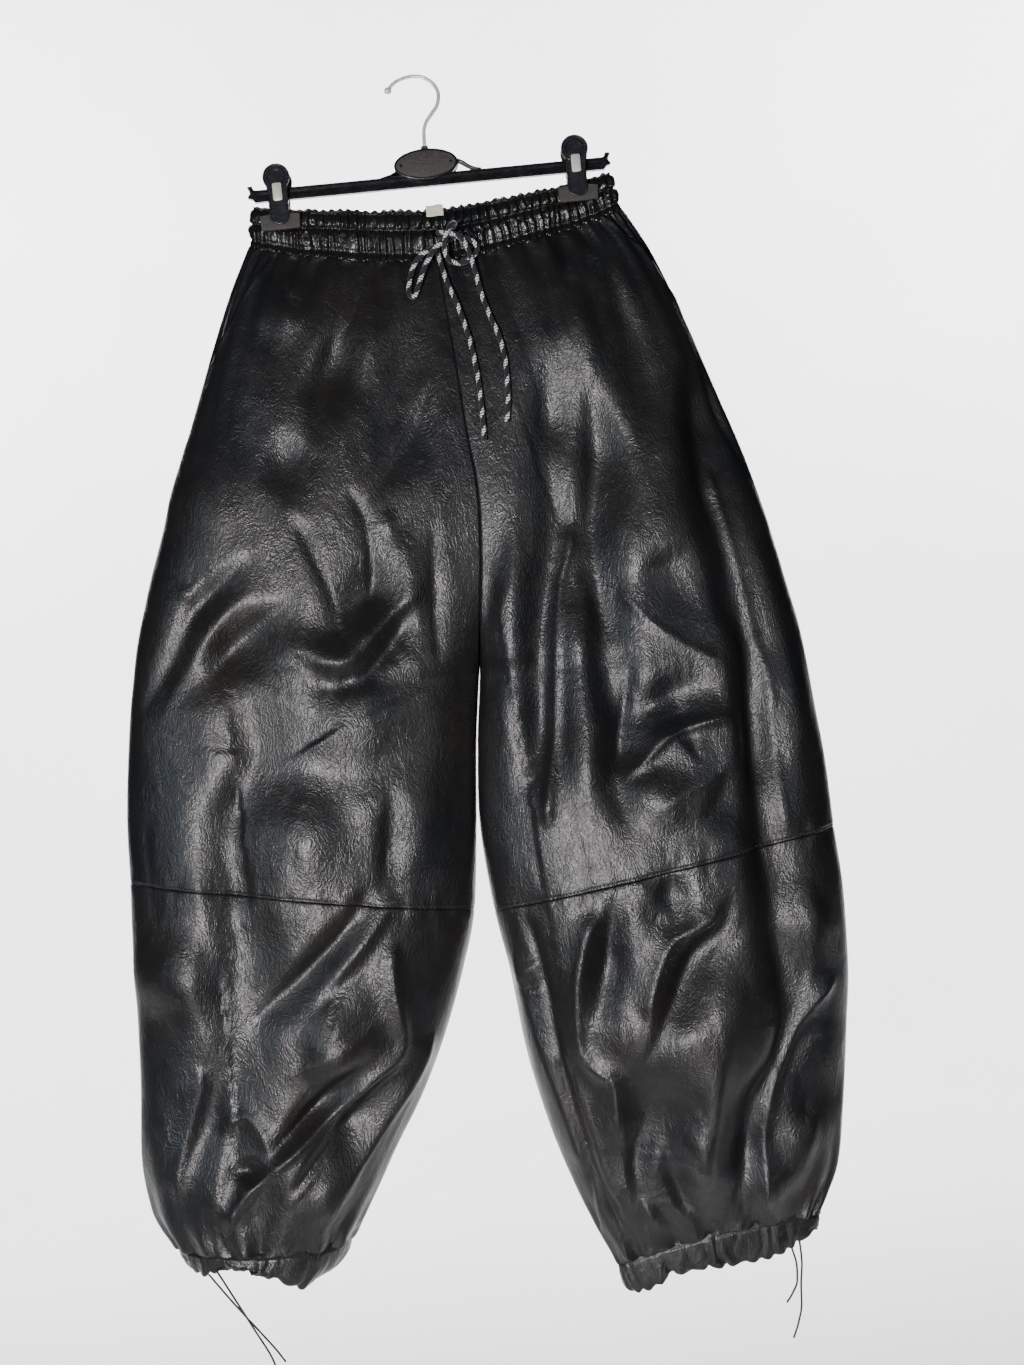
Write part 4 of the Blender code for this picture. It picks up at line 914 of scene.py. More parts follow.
def leather_finish(name, tint, rough, grain_turn=0.0, stretch=(330, 330, 140)):
    """Coated black cloth: curling lines, short drawn-out crinkles, a fine pebble grain, uneven gloss."""
    material, nodes, links, shader = new_finish(name)
    plain = object_places(nodes, links, (1, 1, 1))
    drawn = object_places(nodes, links, stretch, (0, grain_turn, 0))
    wide = object_places(nodes, links, (52, 52, 30), (0, grain_turn, 0))
    pebble = nodes.new("ShaderNodeTexVoronoi")
    pebble.inputs["Scale"].default_value = 700
    links.new(plain, pebble.inputs["Vector"])
    crinkle = cloud(nodes, links, drawn, 1.0, 2.5, 0.6, 1.1)
    curled = object_places(nodes, links, (70, 70, 42), (0, grain_turn, 0))
    swirl = cloud(nodes, links, curled, 1.0, 2.0, 0.5, 0.6)
    curl = sums(nodes, links, sums(nodes, links, swirl, 2 * math.pi * CURL_LINES, "MULTIPLY"), 0.0, "SINE")
    wrinkle = cloud(nodes, links, wide, 1.0, 3.0, 0.5, 0.8)
    patch = cloud(nodes, links, plain, 7.0, 4.0, 0.6)
    mottle = cloud(nodes, links, plain, 55.0, 3.0, 0.6)
    cool, warm = tint
    links.new(ramp(nodes, links, patch, ((0.34, cool), (0.62, warm))), shader.inputs["Base Color"])
    gloss = span(nodes, links, mottle, rough[0], rough[1], 0.3, 0.7)
    links.new(gloss, shader.inputs["Roughness"])
    shader.inputs["IOR"].default_value = 1.5
    relief(nodes, links, ((wrinkle, 0.0011, 0.5), (curl, 0.00009, 0.6), (crinkle, 0.00055, 0.6),
                          (pebble.outputs["Distance"], 0.00025, 0.5)), shader)
    return material


def cord_places(nodes, links):
    """Length along a cord and the way round it, from its UV."""
    where = nodes.new("ShaderNodeUVMap")
    where.uv_map = "cut"
    parts = nodes.new("ShaderNodeSeparateXYZ")
    links.new(where.outputs["UV"], parts.inputs["Vector"])
    return parts.outputs


def slanted(nodes, links, length, round_way):
    """A wave that winds round a cord: the sine of the sum of both."""
    return sums(nodes, links, sums(nodes, links, length, round_way), 0.0, "SINE")


def braid_finish():
    """Black braid with white slanting flecks; the UV is the length and the way round, in metres."""
    material, nodes, links, shader = new_finish("black braid with white flecks")
    parts = cord_places(nodes, links)
    length = sums(nodes, links, parts["X"], 2 * math.pi / 0.0165, "MULTIPLY")
    round_way = sums(nodes, links, parts["Y"], 100.0, "MULTIPLY")
    stripe = slanted(nodes, links, length, round_way)
    strand = sums(nodes, links, parts["X"], 2 * math.pi / 0.0023, "MULTIPLY")
    wound = slanted(nodes, links, strand, round_way)
    fleck = span(nodes, links, stripe, 0.0, 1.0, 0.25, 0.45)
    broken = span(nodes, links, wound, 0.2, 1.0, -0.7, 0.0)
    both = sums(nodes, links, fleck, broken, "MULTIPLY")
    colour = ramp(nodes, links, both, ((0.2, (0.008, 0.008, 0.010)), (0.85, (0.80, 0.80, 0.82))))
    links.new(colour, shader.inputs["Base Color"])
    fibre = cloud(nodes, links, object_places(nodes, links, (1, 1, 1)), 2600.0, 2.0)
    links.new(span(nodes, links, fibre, 0.62, 0.9), shader.inputs["Roughness"])
    shader.inputs["Sheen Weight"].default_value = 0.25
    relief(nodes, links, ((fibre, 0.0002, 0.5),), shader)
    return material


def twist_finish(name, colour, pitch):
    """Thin waxed black cord: strands wound at a slant along its length, with painted shade darkening the
    grooves between them.
    """
    material, nodes, links, shader = new_finish(name)
    parts = cord_places(nodes, links)
    length = sums(nodes, links, parts["X"], 2 * math.pi / pitch, "MULTIPLY")
    round_way = sums(nodes, links, parts["Y"], 200.0, "MULTIPLY")
    strand = slanted(nodes, links, length, round_way)
    dark = tuple(c * 0.5 for c in colour)
    # painted shade: the colour falls to half in the grooves of the strand wave that also makes the bump
    links.new(ramp(nodes, links, strand, ((0.1, dark), (0.9, colour))), shader.inputs["Base Color"])
    links.new(span(nodes, links, strand, 0.72, 0.5), shader.inputs["Roughness"])
    relief(nodes, links, ((strand, 0.00015, 0.6),), shader)
    return material


def moulded_finish(name, colour, rough):
    """Moulded plastic: a faint uneven skin, with dull scuffs from handling."""
    material, nodes, links, shader = new_finish(name)
    plain = object_places(nodes, links, (1, 1, 1))
    skin_noise = cloud(nodes, links, plain, 900.0, 3.0)
    scuff = cloud(nodes, links, object_places(nodes, links, (120, 120, 400)), 1.0, 4.0, 0.7, 0.6)
    patch = cloud(nodes, links, plain, 90.0, 3.0)
    dark = tuple(c * (1 - SCUFF_MARK) for c in colour)
    pale = tuple(c * (1 + SCUFF_MARK) + 0.004 for c in colour)
    links.new(ramp(nodes, links, patch, ((0.3, dark), (0.7, pale))), shader.inputs["Base Color"])
    links.new(span(nodes, links, scuff, rough - 0.05, rough + 0.10, 0.3, 0.7), shader.inputs["Roughness"])
    relief(nodes, links, ((skin_noise, 0.00004, 0.2), (scuff, 0.00003, 0.15)), shader)
    return material


def grained_finish():
    """Brown grey grip pads: a coarse matt grain like fine cork."""
    material, nodes, links, shader = new_finish("brown grey grained plastic")
    plain = object_places(nodes, links, (1, 1, 1))
    grain = nodes.new("ShaderNodeTexVoronoi")
    grain.inputs["Scale"].default_value = 650
    links.new(plain, grain.inputs["Vector"])
    patch = cloud(nodes, links, plain, 240.0, 4.0, 0.65)
    links.new(ramp(nodes, links, patch, ((0.3, (0.030, 0.026, 0.024)), (0.55, (0.052, 0.045, 0.040)),
                                         (0.75, (0.078, 0.068, 0.060)))), shader.inputs["Base Color"])
    links.new(span(nodes, links, patch, 0.5, 0.75), shader.inputs["Roughness"])
    relief(nodes, links, ((grain.outputs["Distance"], 0.0005, 0.6), (patch, 0.0004, 0.5)), shader)
    return material


def metal_finish(name, colour, rough, drawn, bare):
    """Plated metal with fine drawn lines along it; bare is the share of it that mirrors as bare metal."""
    material, nodes, links, shader = new_finish(name)
    lines = cloud(nodes, links, object_places(nodes, links, drawn), 1.0, 3.0, 0.6)
    patch = cloud(nodes, links, object_places(nodes, links, (1, 1, 1)), 130.0, 3.0)
    dark = tuple(c * 0.82 for c in colour)
    links.new(ramp(nodes, links, patch, ((0.3, dark), (0.65, colour))), shader.inputs["Base Color"])
    shader.inputs["Metallic"].default_value = bare
    links.new(span(nodes, links, lines, rough - 0.05, rough + 0.1, 0.3, 0.7), shader.inputs["Roughness"])
    relief(nodes, links, ((lines, 0.00005, 0.3),), shader)
    return material


def ribbon_finish():
    """Cream woven ribbon: crossing threads a third of a millimetre apart, with painted shade between them and
    random tone.
    """
    material, nodes, links, shader = new_finish("cream woven ribbon")
    places = object_places(nodes, links, (1, 1, 1))
    threads = []
    for way in ("X", "Z"):
        wave = nodes.new("ShaderNodeTexWave")
        wave.bands_direction = way
        wave.inputs["Scale"].default_value = 480
        wave.inputs["Distortion"].default_value = 0.4
        links.new(places, wave.inputs["Vector"])
        threads.append(wave.outputs["Fac"])
    weave = sums(nodes, links, threads[0], threads[1], "MULTIPLY")
    tone = cloud(nodes, links, places, 220.0, 3.0)
    # random tone, plus painted shade where the weave dips between the threads
    both = sums(nodes, links, sums(nodes, links, weave, 0.5, "MULTIPLY"), tone, "ADD")
    links.new(ramp(nodes, links, both, ((0.35, (0.80, 0.74, 0.56)), (0.85, (0.96, 0.92, 0.76)))),
              shader.inputs["Base Color"])
    links.new(span(nodes, links, weave, 0.9, 0.7), shader.inputs["Roughness"])
    shader.inputs["Sheen Weight"].default_value = 0.3
    relief(nodes, links, ((weave, 0.0002, 0.6),), shader)
    return material


def make_finishes():
    """Every finish of the piece, by a short name."""
    return {
        "leather": leather_finish("black faux leather", ((0.0085, 0.0095, 0.0115), (0.0135, 0.0120, 0.0105)),
                                  (0.30, 0.42), 0.18),
        "shirred": leather_finish("shirred black faux leather",
                                  ((0.0075, 0.0082, 0.0095), (0.0120, 0.0110, 0.0095)), (0.17, 0.27), 0.0,
                                  (420, 420, 200)),
        "thread": twist_finish("black sewing thread", (0.075, 0.073, 0.076), 0.0011),
        "braid": braid_finish(),
        "hem_cord": twist_finish("thin black hem cord", (0.022, 0.022, 0.024), 0.0022),
        "hanger": moulded_finish("black hanger plastic", (0.009, 0.009, 0.012), 0.22),
        "clip": moulded_finish("slate clip plastic", (0.017, 0.018, 0.023), 0.22),
        "grip": grained_finish(),
        "wire": metal_finish("bright plated wire", (0.93, 0.91, 0.91), 0.26, (200, 200, 60), 0.3),
        "spring": metal_finish("pale sprung steel", (0.92, 0.86, 0.78), 0.30, (900, 60, 60), 0.45),
        "ribbon": ribbon_finish(),
    }


# ------------------------------------------------------------------ camera, light, stage

def stood(right, up, back, place):
    """The matrix of a thing at a place with these three directions."""
    return Matrix([[right[k], up[k], back[k], place[k]] for k in range(3)] + [[0, 0, 0, 1]])


def place_camera():
    """The camera in front of the trousers, rolled as the photograph was taken."""
    roll = math.radians(5.5)
    data = bpy.data.cameras.new("camera")
    data.sensor_fit = "VERTICAL"
    data.sensor_height = 24.0
    data.lens = 36.31
    camera = bpy.data.objects.new("camera", data)
    bpy.context.scene.collection.objects.link(camera)
    right = (math.cos(roll), 0.0, -math.sin(roll))
    up = (math.sin(roll), 0.0, math.cos(roll))
    back = (0.0, -1.0, 0.0)
    place = (0.038, -1.9, -0.562)
    camera.matrix_world = stood(right, up, back, place)
    bpy.context.scene.camera = camera


def soft_lamp(name, place, aim, size, power, colour):
    """A rectangular lamp at a place, turned to face its aim."""
    data = bpy.data.lights.new(name, "AREA")
    data.shape = "RECTANGLE"
    data.size = size[0]
    data.size_y = size[1]
    data.energy = power
    data.color = colour
    lamp = bpy.data.objects.new(name, data)
    bpy.context.scene.collection.objects.link(lamp)
    back = np.array(place, float) - np.array(aim, float)
    back /= np.linalg.norm(back)
    right = np.cross((0, 0, 1.0), back)
    if np.linalg.norm(right) < 1e-6:
        right = np.array((1.0, 0, 0))
    right /= np.linalg.norm(right)
    up = np.cross(back, right)
    lamp.matrix_world = stood(right, up, back, place)


def backdrop():
    """A pale paper sweep: flat floor, quarter-round bend and upright wall, carried from side to side."""
    radius, floor, wall = 1.0, -1.42, 2.6
    angle = np.radians(np.linspace(0, 90, 25))
    bend = [(wall - radius + radius * math.sin(a), floor + radius * (1 - math.cos(a))) for a in angle]
    profile = np.array([(-0.35, floor), (0.2, floor)] + bend + [(wall, 2.0), (wall, 4.0)])
    across = np.linspace(-2.2, 2.2, 9)
    grid = np.empty((len(profile), len(across), 3))
    grid[..., 0] = across[None, :]
    grid[..., 1] = profile[:, 0][:, None]
    grid[..., 2] = profile[:, 1][:, None]
    material, nodes, links, shader = new_finish("pale paper")
    tone = cloud(nodes, links, object_places(nodes, links, (1, 1, 1)), 3.0, 3.0)
    links.new(ramp(nodes, links, tone, ((0.3, (0.86, 0.86, 0.86)), (0.7, (0.90, 0.90, 0.90)))),
              shader.inputs["Base Color"])
    shader.inputs["Roughness"].default_value = 0.9
    faces = quads_of(len(profile), len(across), False)[:, ::-1]
    sweep = mesh_object("backdrop", grid.reshape(-1, 3) / MM, faces, material)


def light_the_scene():
    """A key beside the camera, cool light from both sides and above, light from below, and on the paper."""
    world = bpy.data.worlds.new("room")
    world.use_nodes = True
    world.node_tree.nodes["Background"].inputs["Color"].default_value = (0.80, 0.86, 1.0, 1)
    world.node_tree.nodes["Background"].inputs["Strength"].default_value = 0.03
    bpy.context.scene.world = world
    soft_lamp("key", (-0.50, -2.1, -0.80), (0, 0, -0.80), (0.34, 0.42), 46, (1.0, 0.95, 0.95))
    soft_lamp("window", (-1.75, -1.7, -0.50), (0, 0, -0.7), (0.35, 1.1), 9, (0.70, 0.85, 1.0))
    soft_lamp("low", (-0.25, -1.7, -1.95), (0, 0, -1.0), (0.8, 0.25), 6, (1.0, 0.97, 0.97))
    soft_lamp("front", (1.25, -2.2, -0.45), (0, 0, -0.7), (0.3, 0.9), 5, (0.80, 0.90, 1.0))
    soft_lamp("above", (0.1, 0.3, 1.5), (0, 0, -0.5), (1.4, 0.5), 8, (0.85, 0.93, 1.0))
    soft_lamp("paper_left", (-1.5, 0.9, 0.8), (-1.0, 2.9, -0.1), (1.2, 1.2), 170, (1, 1, 1))
    soft_lamp("paper_right", (1.5, 0.9, 0.8), (1.0, 2.9, -0.1), (1.2, 1.2), 170, (1, 1, 1))


# ------------------------------------------------------------------ cords

BODY = "root"
DRAWCORD_WIDTH = 4.6
HEM_CORD_WIDTH = 2.0


def braid_relief(length, angle):
    """Plaited strands: crossing slanted waves on the cord's skin, in millimetres."""
    one = np.sin(2 * math.pi * length / 4.2 + 2 * angle)
    other = np.sin(2 * math.pi * length / 4.2 - 2 * angle)
    return 0.16 * np.maximum(one, other)


def twist_relief(length, angle):
    """Wound strands: one slanted wave on the cord's skin."""
    return 0.07 * np.sin(2 * math.pi * length / 2.2 + 2 * angle)


def make_cords(finish):
    """The drawstring's two ends in their bow, and the loose ends of the hem cords."""
    for name, route in CORD_ROUTES.items():
        thick = name.startswith("drawstring")
        width = DRAWCORD_WIDTH if thick else HEM_CORD_WIDTH
        path = smooth_route(route, 0.7 if thick else 0.5)
        size = np.full(len(path), width / 2 - (0.12 if thick else 0.03))
        size[-3:] *= (0.97, 0.88, 0.6)
        piece = tube(name + "_cord", path, size, 16 if thick else 10,
                     finish["braid" if thick else "hem_cord"], braid_relief if thick else twist_relief)
        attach(piece, BODY)
        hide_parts(name)


# ------------------------------------------------------------------ trousers

CELL = {"front": 2.9, "back": 4.0}
NEAR_SEAM = (0.0, 0.7, 1.4, 2.1, 2.9, 3.8, 5.0, 6.6)


def declare_cloth(piece, node):
    """Binds a cloth piece to the body and hides the node that it stands for."""
    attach(piece, BODY)
    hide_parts(node)


def sewn(thread):
    """Binds a row of stitches to the body."""
    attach(thread, BODY)


def mouth_share(half, rows):
    """Share of the front section's length at which the pocket mouth crosses each row."""
    line = np.array(SLASH[half], float)
    order = np.argsort(line[:, 1])
    fine = np.linspace(0, 1, 400)
    shares = np.ones(len(rows))
    for k, row in enumerate(rows):
        if row > POCKET_ROW:
            continue
        points = bare_form(half, "front", fine, np.full(fine.shape, row))
        mouth = np.interp(points[:, 2], line[order, 1], line[order, 0])
        past = (points[:, 0] - mouth) * (-1 if half == "left" else 1)
        past = np.where(points[:, 2] < line[:, 1].min(), -5.0, past)
        length = length_along(points)
        over = np.nonzero(past > 0)[0]
        if len(over) and over[0] > 0:
            n = over[0]
            t = -past[n - 1] / (past[n] - past[n - 1])
            shares[k] = (length[n - 1] * (1 - t) + length[n] * t) / length[-1]
    return np.minimum(shares, 1.0)


def leg_panel(name, half, face, start, end, finish, mouth=False):
    """A panel of one leg between two rows, on even shares of each row's length."""
    cell = CELL[face]
    span_length = (end - start) * (UPPER_LENGTH if end <= KNEE_ROW else LOWER_LENGTH)
    near = np.array(NEAR_SEAM) / span_length * (end - start)
    middle = np.linspace(start + near[-1], end - near[-1], int(span_length / cell) + 1)
    rows = np.concatenate([start + near[:-1], middle, (end - near[:-1])[::-1]])
    columns = int(345 / cell)
    ends = None
    lift = 0.0
    if mouth:
        ends = mouth_share(half, rows)
        shares = np.linspace(0, 1, columns + 1)
        turn = even_turns(half, face, rows, shares, ends)
        near = np.exp(-((1 - shares[None, :]) * ends[:, None] * 330 / 5.0) ** 2)
        lift = MOUTH_RISE * near * (rows < POCKET_ROW)[:, None] * ease((POCKET_ROW - rows) / 0.02)[:, None]
    else:
        turn = even_turns(half, face, rows, np.linspace(0, 1, columns + 1))
    row = np.repeat(rows[:, None], columns + 1, axis=1)
    points, out, rise = dressed(half, face, turn, row)
    points = points + out * np.asarray(lift)[..., None] if mouth else points
    base = bare_form(half, face, turn, row)
    piece = skin(name + "_cloth", points, out, finish["leather"], CLOTH, uv=grid_uv(base), rise=rise)
    declare_cloth(piece, name)


def side_piece(half, finish):
    """The pocket's side piece, seen behind the mouth: from a lap under it out to the side seam."""
    rows = np.linspace(0, POCKET_ROW, 42)
    ends = mouth_share(half, rows)
    begin = np.maximum(ends - 0.045, 0)
    turn = np.stack([even_turns(half, "front", [rows[k]], np.linspace(begin[k], 1, 30))[0]
                     for k in range(len(rows))])
    row = np.repeat(rows[:, None], 30, axis=1)
    points, out, rise = dressed(half, "front", turn, row)
    points = points - out * 1.9
    name = "pocket_side_" + half
    piece = skin(name + "_cloth", points, out, finish["leather"], CLOTH, uv=grid_uv(points), rise=rise)
    declare_cloth(piece, name)


STITCH_SHARE = (0.05, 0.42, 0.92)
BAND_PUFF = 2.6
BAND_WAVE = 1.5


def band_surface(face, columns, rows):
    """Points of the waistband's bare form across both halves, from side seam to side seam, and the directions
    out of it.
    """
    parts = []
    for half in ("left", "right"):
        reach = abs(SECTIONS[half][0][1] - 8)
        count = int(round(columns * reach / 332.0))
        turn = even_turns(half, face, rows, np.linspace(0, 1, count + 1))
        row = np.repeat(rows[:, None], count + 1, axis=1)
        points = bare_form(half, face, turn, row)
        out = outward(half, face, turn, row, bare_form)
        if half == "left":
            points, out = points[:, ::-1], out[:, ::-1]
            parts.append((points[:, :-1], out[:, :-1]))
        else:
            out[:, 0] = (0, -1 if face == "front" else 1, 0)
            parts.append((points, out))
    points = np.concatenate([p[0] for p in parts], axis=1)
    out = np.concatenate([p[1] for p in parts], axis=1)
    return points, out


def waistband(face, finish):
    """Half of the waistband, from side seam to side seam."""
    rows = np.linspace(-0.985, 0.006, 46)
    columns = BAND_GATHERS * (11 if face == "front" else 8)
    points, out = band_surface(face, columns, rows)
    share = ((rows - rows[0]) / (rows[-1] - rows[0]))[:, None]
    across = np.linspace(0, 1, points.shape[1])[None, :]
    u = across * 332.0
    v = share * 36.0
    puff = np.zeros(share.shape)
    groove = np.zeros(share.shape)
    edges = (0.0,) + STITCH_SHARE + (1.0,)
    for low, high in zip(edges[:-1], edges[1:]):
        inside = np.clip((share - low) / (high - low), 0, 1)
        weight = min((high - low) / 0.35, 1.0)
        within = (share >= low) & (share <= high)
        puff = puff + weight * np.where(within, np.sqrt(np.sin(inside * math.pi)), 0)
    for line in STITCH_SHARE:
        groove = groove + np.exp(-(((share - line) / 0.028) ** 2))
    seed = 40 if face == "front" else 60
    lower = ease((share - STITCH_SHARE[1] + 0.05) / 0.10)
    wander = 0.36 * uneven(u, v * 0.4, 12.0, seed) + 0.16 * uneven(u, v, 6.0, seed + 1)
    phase = BAND_GATHERS * across + wander + lower * (0.45 + 0.5 * uneven(u, 0 * v, 26.0, seed + 2))
    gather = 2 * np.abs(np.sin(math.pi * phase)) ** 0.85 - 1.2
    gather = gather + 0.45 * np.abs(np.sin(2 * math.pi * phase + 1.1 + 2 * wander))
    strength = 0.9 + 0.6 * uneven(u, 0.5 * v, 9.0, seed + 3)
    near_clip = sum(np.exp(-((points[:1, :, 0] - x) / (CLIP_HALF_WIDTH - 9)) ** 4) for x in CLIP_X)
    near_clip = near_clip * ease((0.62 - share) / 0.14)
    ends = ease(across * 40) * ease((1 - across) * 40)
    pinched = (1 - 0.8 * near_clip) * (0.35 + 0.65 * ends)
    small = 0.35 * uneven(u, v, 3.4, seed + 4)
    rise = (BAND_PUFF * (puff - 0.5) * (1 - 0.5 * near_clip) - 1.3 * groove
            + BAND_WAVE * gather * strength * (0.6 + 0.4 * puff) * pinched + small)
    points = points + out * rise[..., None]
    edge_wave = 0.9 * np.cos(2 * math.pi * (BAND_GATHERS * across + 0.3)) + 1.0 * uneven(u, 0 * u, 9.0, 77)
    points[..., 2] += edge_wave * np.exp(-share / 0.08) * pinched
    points[..., 2] -= (1.6 + 1.3 * gather * strength) * ease((share - 0.8) / 0.2) * pinched
    side = -1 if face == "front" else 1
    points[..., 1] = side * np.maximum(side * points[..., 1], 0.2)
    name = "waistband_" + face
    piece = skin(name + "_cloth", points, out, finish["shirred"], 1.6, uv=grid_uv(points), rise=rise)
    declare_cloth(piece, name)
    seams = []
    for at in STITCH_SHARE:
        k = int(round(at * (len(rows) - 1)))
        seams.append(stitches("row", points[k], out[k], finish["thread"]))
    sewn(join("waistband_" + face + "_stitching", seams))


def hem(half, finish):
    """A gathered drawcord channel round an ankle: puffed between its seam and its edge, gathers across."""
    rows = np.concatenate([[HEM_ROW - 0.016, HEM_ROW - 0.004], np.linspace(HEM_ROW + 0.002, EDGE_ROW, 20)])
    per_face = 150
    grids = []
    for face in ("front", "back"):
        shares = (np.arange(per_face) + 0.5) / per_face
        turn = even_turns(half, face, rows, shares)
        row = np.repeat(rows[:, None], per_face, axis=1)
        points = bare_form(half, face, turn, row)
        out = outward(half, face, turn, row, bare_form)
        if face == "back":
            points, out = points[:, ::-1], out[:, ::-1]
        grids.append((points, out))
    points = np.concatenate([g[0] for g in grids], axis=1)
    out = np.concatenate([g[1] for g in grids], axis=1)
    share = np.clip((rows - HEM_ROW) / (EDGE_ROW - HEM_ROW), 0, 1)[:, None]
    tucked = (rows < HEM_ROW)[:, None]
    across = np.linspace(0, 1, points.shape[1], endpoint=False)[None, :]
    u = across * 400.0
    v = share * 26.0
    puff = np.sqrt(np.sin(np.clip(share * 0.96 + 0.02, 0, 1) * math.pi))
    phase = HEM_GATHERS[half] * across + 0.75 * uneven(u, 0.4 * v, 26.0, 90)
    phase = phase + 0.2 * uneven(u, v, 11.0, 91)
    gather = 2 * np.abs(np.sin(math.pi * phase)) ** 0.85 - 1.1
    gather = gather + 0.4 * np.abs(np.sin(2 * math.pi * phase + 0.9))
    seam = ease(across * 300) * ease((1 - across) * 300)
    strength = 0.9 + 0.65 * uneven(u, 0.3 * v, 19.0, 92)
    rise = 1.6 * (puff - 0.5) + (0.5 + 1.5 * share) * gather * strength * seam
    rise = np.where(tucked, -2.9, rise + 0.3 * uneven(u, v, 4.0, 93))
    points = points + out * rise[..., None]
    points[..., 2] += (0.9 * np.cos(2 * math.pi * phase + 0.5) * ease((share - 0.6) / 0.4))
    name = "hem_" + half
    piece = skin(name + "_cloth", points, out, finish["leather"], 2.2, closed=True, uv=grid_uv(points),
                 rise=rise)
    declare_cloth(piece, name)
    sewn(stitches("hem_" + half + "_stitching", points[5], out[5], finish["thread"]))


def knee_stitching(half, face, finish):
    """The row of stitches a little above the knee seam."""
    rows = [KNEE_ROW - STITCH_OFF / UPPER_LENGTH]
    turn = even_turns(half, face, rows, np.linspace(0.01, 0.99, 240))
    row = np.full(turn.shape, rows[0])
    points, out, _ = dressed(half, face, turn, row)
    return stitches("row", points[0], out[0], finish["thread"])


def make_trousers(finish):
    """Every cloth piece of the joggers with its sewing."""
    rows = []
    for half in ("left", "right"):
        leg_panel("front_upper_" + half, half, "front", 0.0, KNEE_ROW, finish, mouth=True)
        leg_panel("back_upper_" + half, half, "back", 0.0, KNEE_ROW, finish)
        leg_panel("front_lower_" + half, half, "front", KNEE_ROW, HEM_ROW, finish)
        leg_panel("back_lower_" + half, half, "back", KNEE_ROW, HEM_ROW, finish)
        side_piece(half, finish)
        hem(half, finish)
        rows += [knee_stitching(half, face, finish) for face in ("front", "back")]
    sewn(join("knee_stitching", rows))
    for face in ("front", "back"):
        waistband(face, finish)


# ------------------------------------------------------------------ hanger, clips, label

HANGER_X = 5.0
BAR_LEFT, BAR_RIGHT = -161.0, 174.0
BAR_TOP, BAR_BOTTOM = -89.5, -100.5
BAR_HALF_DEPTH = 4.0
PAD_HALF_WIDTH, PAD_HALF_HEIGHT, PAD_Z, PAD_THICK = 29.5, 14.2, -81.0, 4.0
HOOK_WIRE, HOOK_BALL = 3.5, 3.4
HOOK_ROUTE = (
    (-25.2, -12.2), (-22.8, -8.2), (-18.4, -3.6), (-12.0, -0.2), (-5.0, 1.5), (0.0, 1.75), (7.0, 1.0),
    (14.5, -3.0), (20.0, -9.2), (22.4, -17.0), (20.6, -25.5), (15.0, -33.5), (9.0, -41.0), (6.0, -49.0),
    (5.4, -55.0), (5.2, -62.6),
)
TONGUE_WIDTH, TONGUE_HEAD = 18.0, 25.0
TONGUE_TOP, TONGUE_BOTTOM = -68.5, -125.0
GRIP_WIDTH, GRIP_TOP, GRIP_BOTTOM = 37.0, -114.0, -129.0
GRIP_FACE, GRIP_THICK, TONGUE_THICK = 6.6, 3.4, 2.4
SADDLE_WIDTH, SADDLE_TOP, SADDLE_BOTTOM = 16.0, -76.0, -108.0
SPRING_WIDTH, SPRING_TOP, SPRING_BOTTOM, SPRING_THICK = 9.5, -87.0, -103.0, 0.9
LABEL_WIDTH, LABEL_DROP, LABEL_X = 15.5, 10.5, 9.0


def oval(x, z, half_wide, half_high, start=0.0, end=360.0, count=49):
    """Points on an oval or part of one, angles in degrees."""
    angle = np.radians(np.linspace(start, end, count))
    return np.stack([x + half_wide * np.cos(angle), z + half_high * np.sin(angle)], axis=1)


def bound(piece, node):
    """Binds a hard piece to the body and hides the node that it stands for."""
    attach(piece, BODY)
    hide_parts(node)


def rail(name, x_from, x_to, profile, material):
    """A bar of one section: the y, z profile carried straight along X, its ends closed."""
    profile = np.asarray(profile, float)
    stations = np.linspace(x_from, x_to, 25)
    grid = np.empty((len(stations), len(profile), 3))
    grid[..., 0] = stations[:, None]
    grid[..., 1] = profile[None, :, 0]
    grid[..., 2] = profile[None, :, 1]
    return swept(name, grid, material, smooth=False)


def ribbed_section():
    """Half-depths of the bar down its height: a flange, a web with a raised rib on it, and a lower flange."""
    down = ((BAR_TOP, 3.0), (BAR_TOP - 0.4, 4.0), (BAR_TOP - 1.7, 4.0), (BAR_TOP - 2.2, 2.5),
            (BAR_TOP - 4.6, 2.3), (BAR_TOP - 5.0, 2.9), (BAR_TOP - 5.7, 2.9), (BAR_TOP - 6.1, 2.3),
            (BAR_BOTTOM + 2.4, 2.5), (BAR_BOTTOM + 1.9, 3.6), (BAR_BOTTOM + 0.4, 3.6), (BAR_BOTTOM, 2.8))
    front = [(-half, z) for z, half in down]
    back = [(half, z) for z, half in down[::-1]]
    return front + back


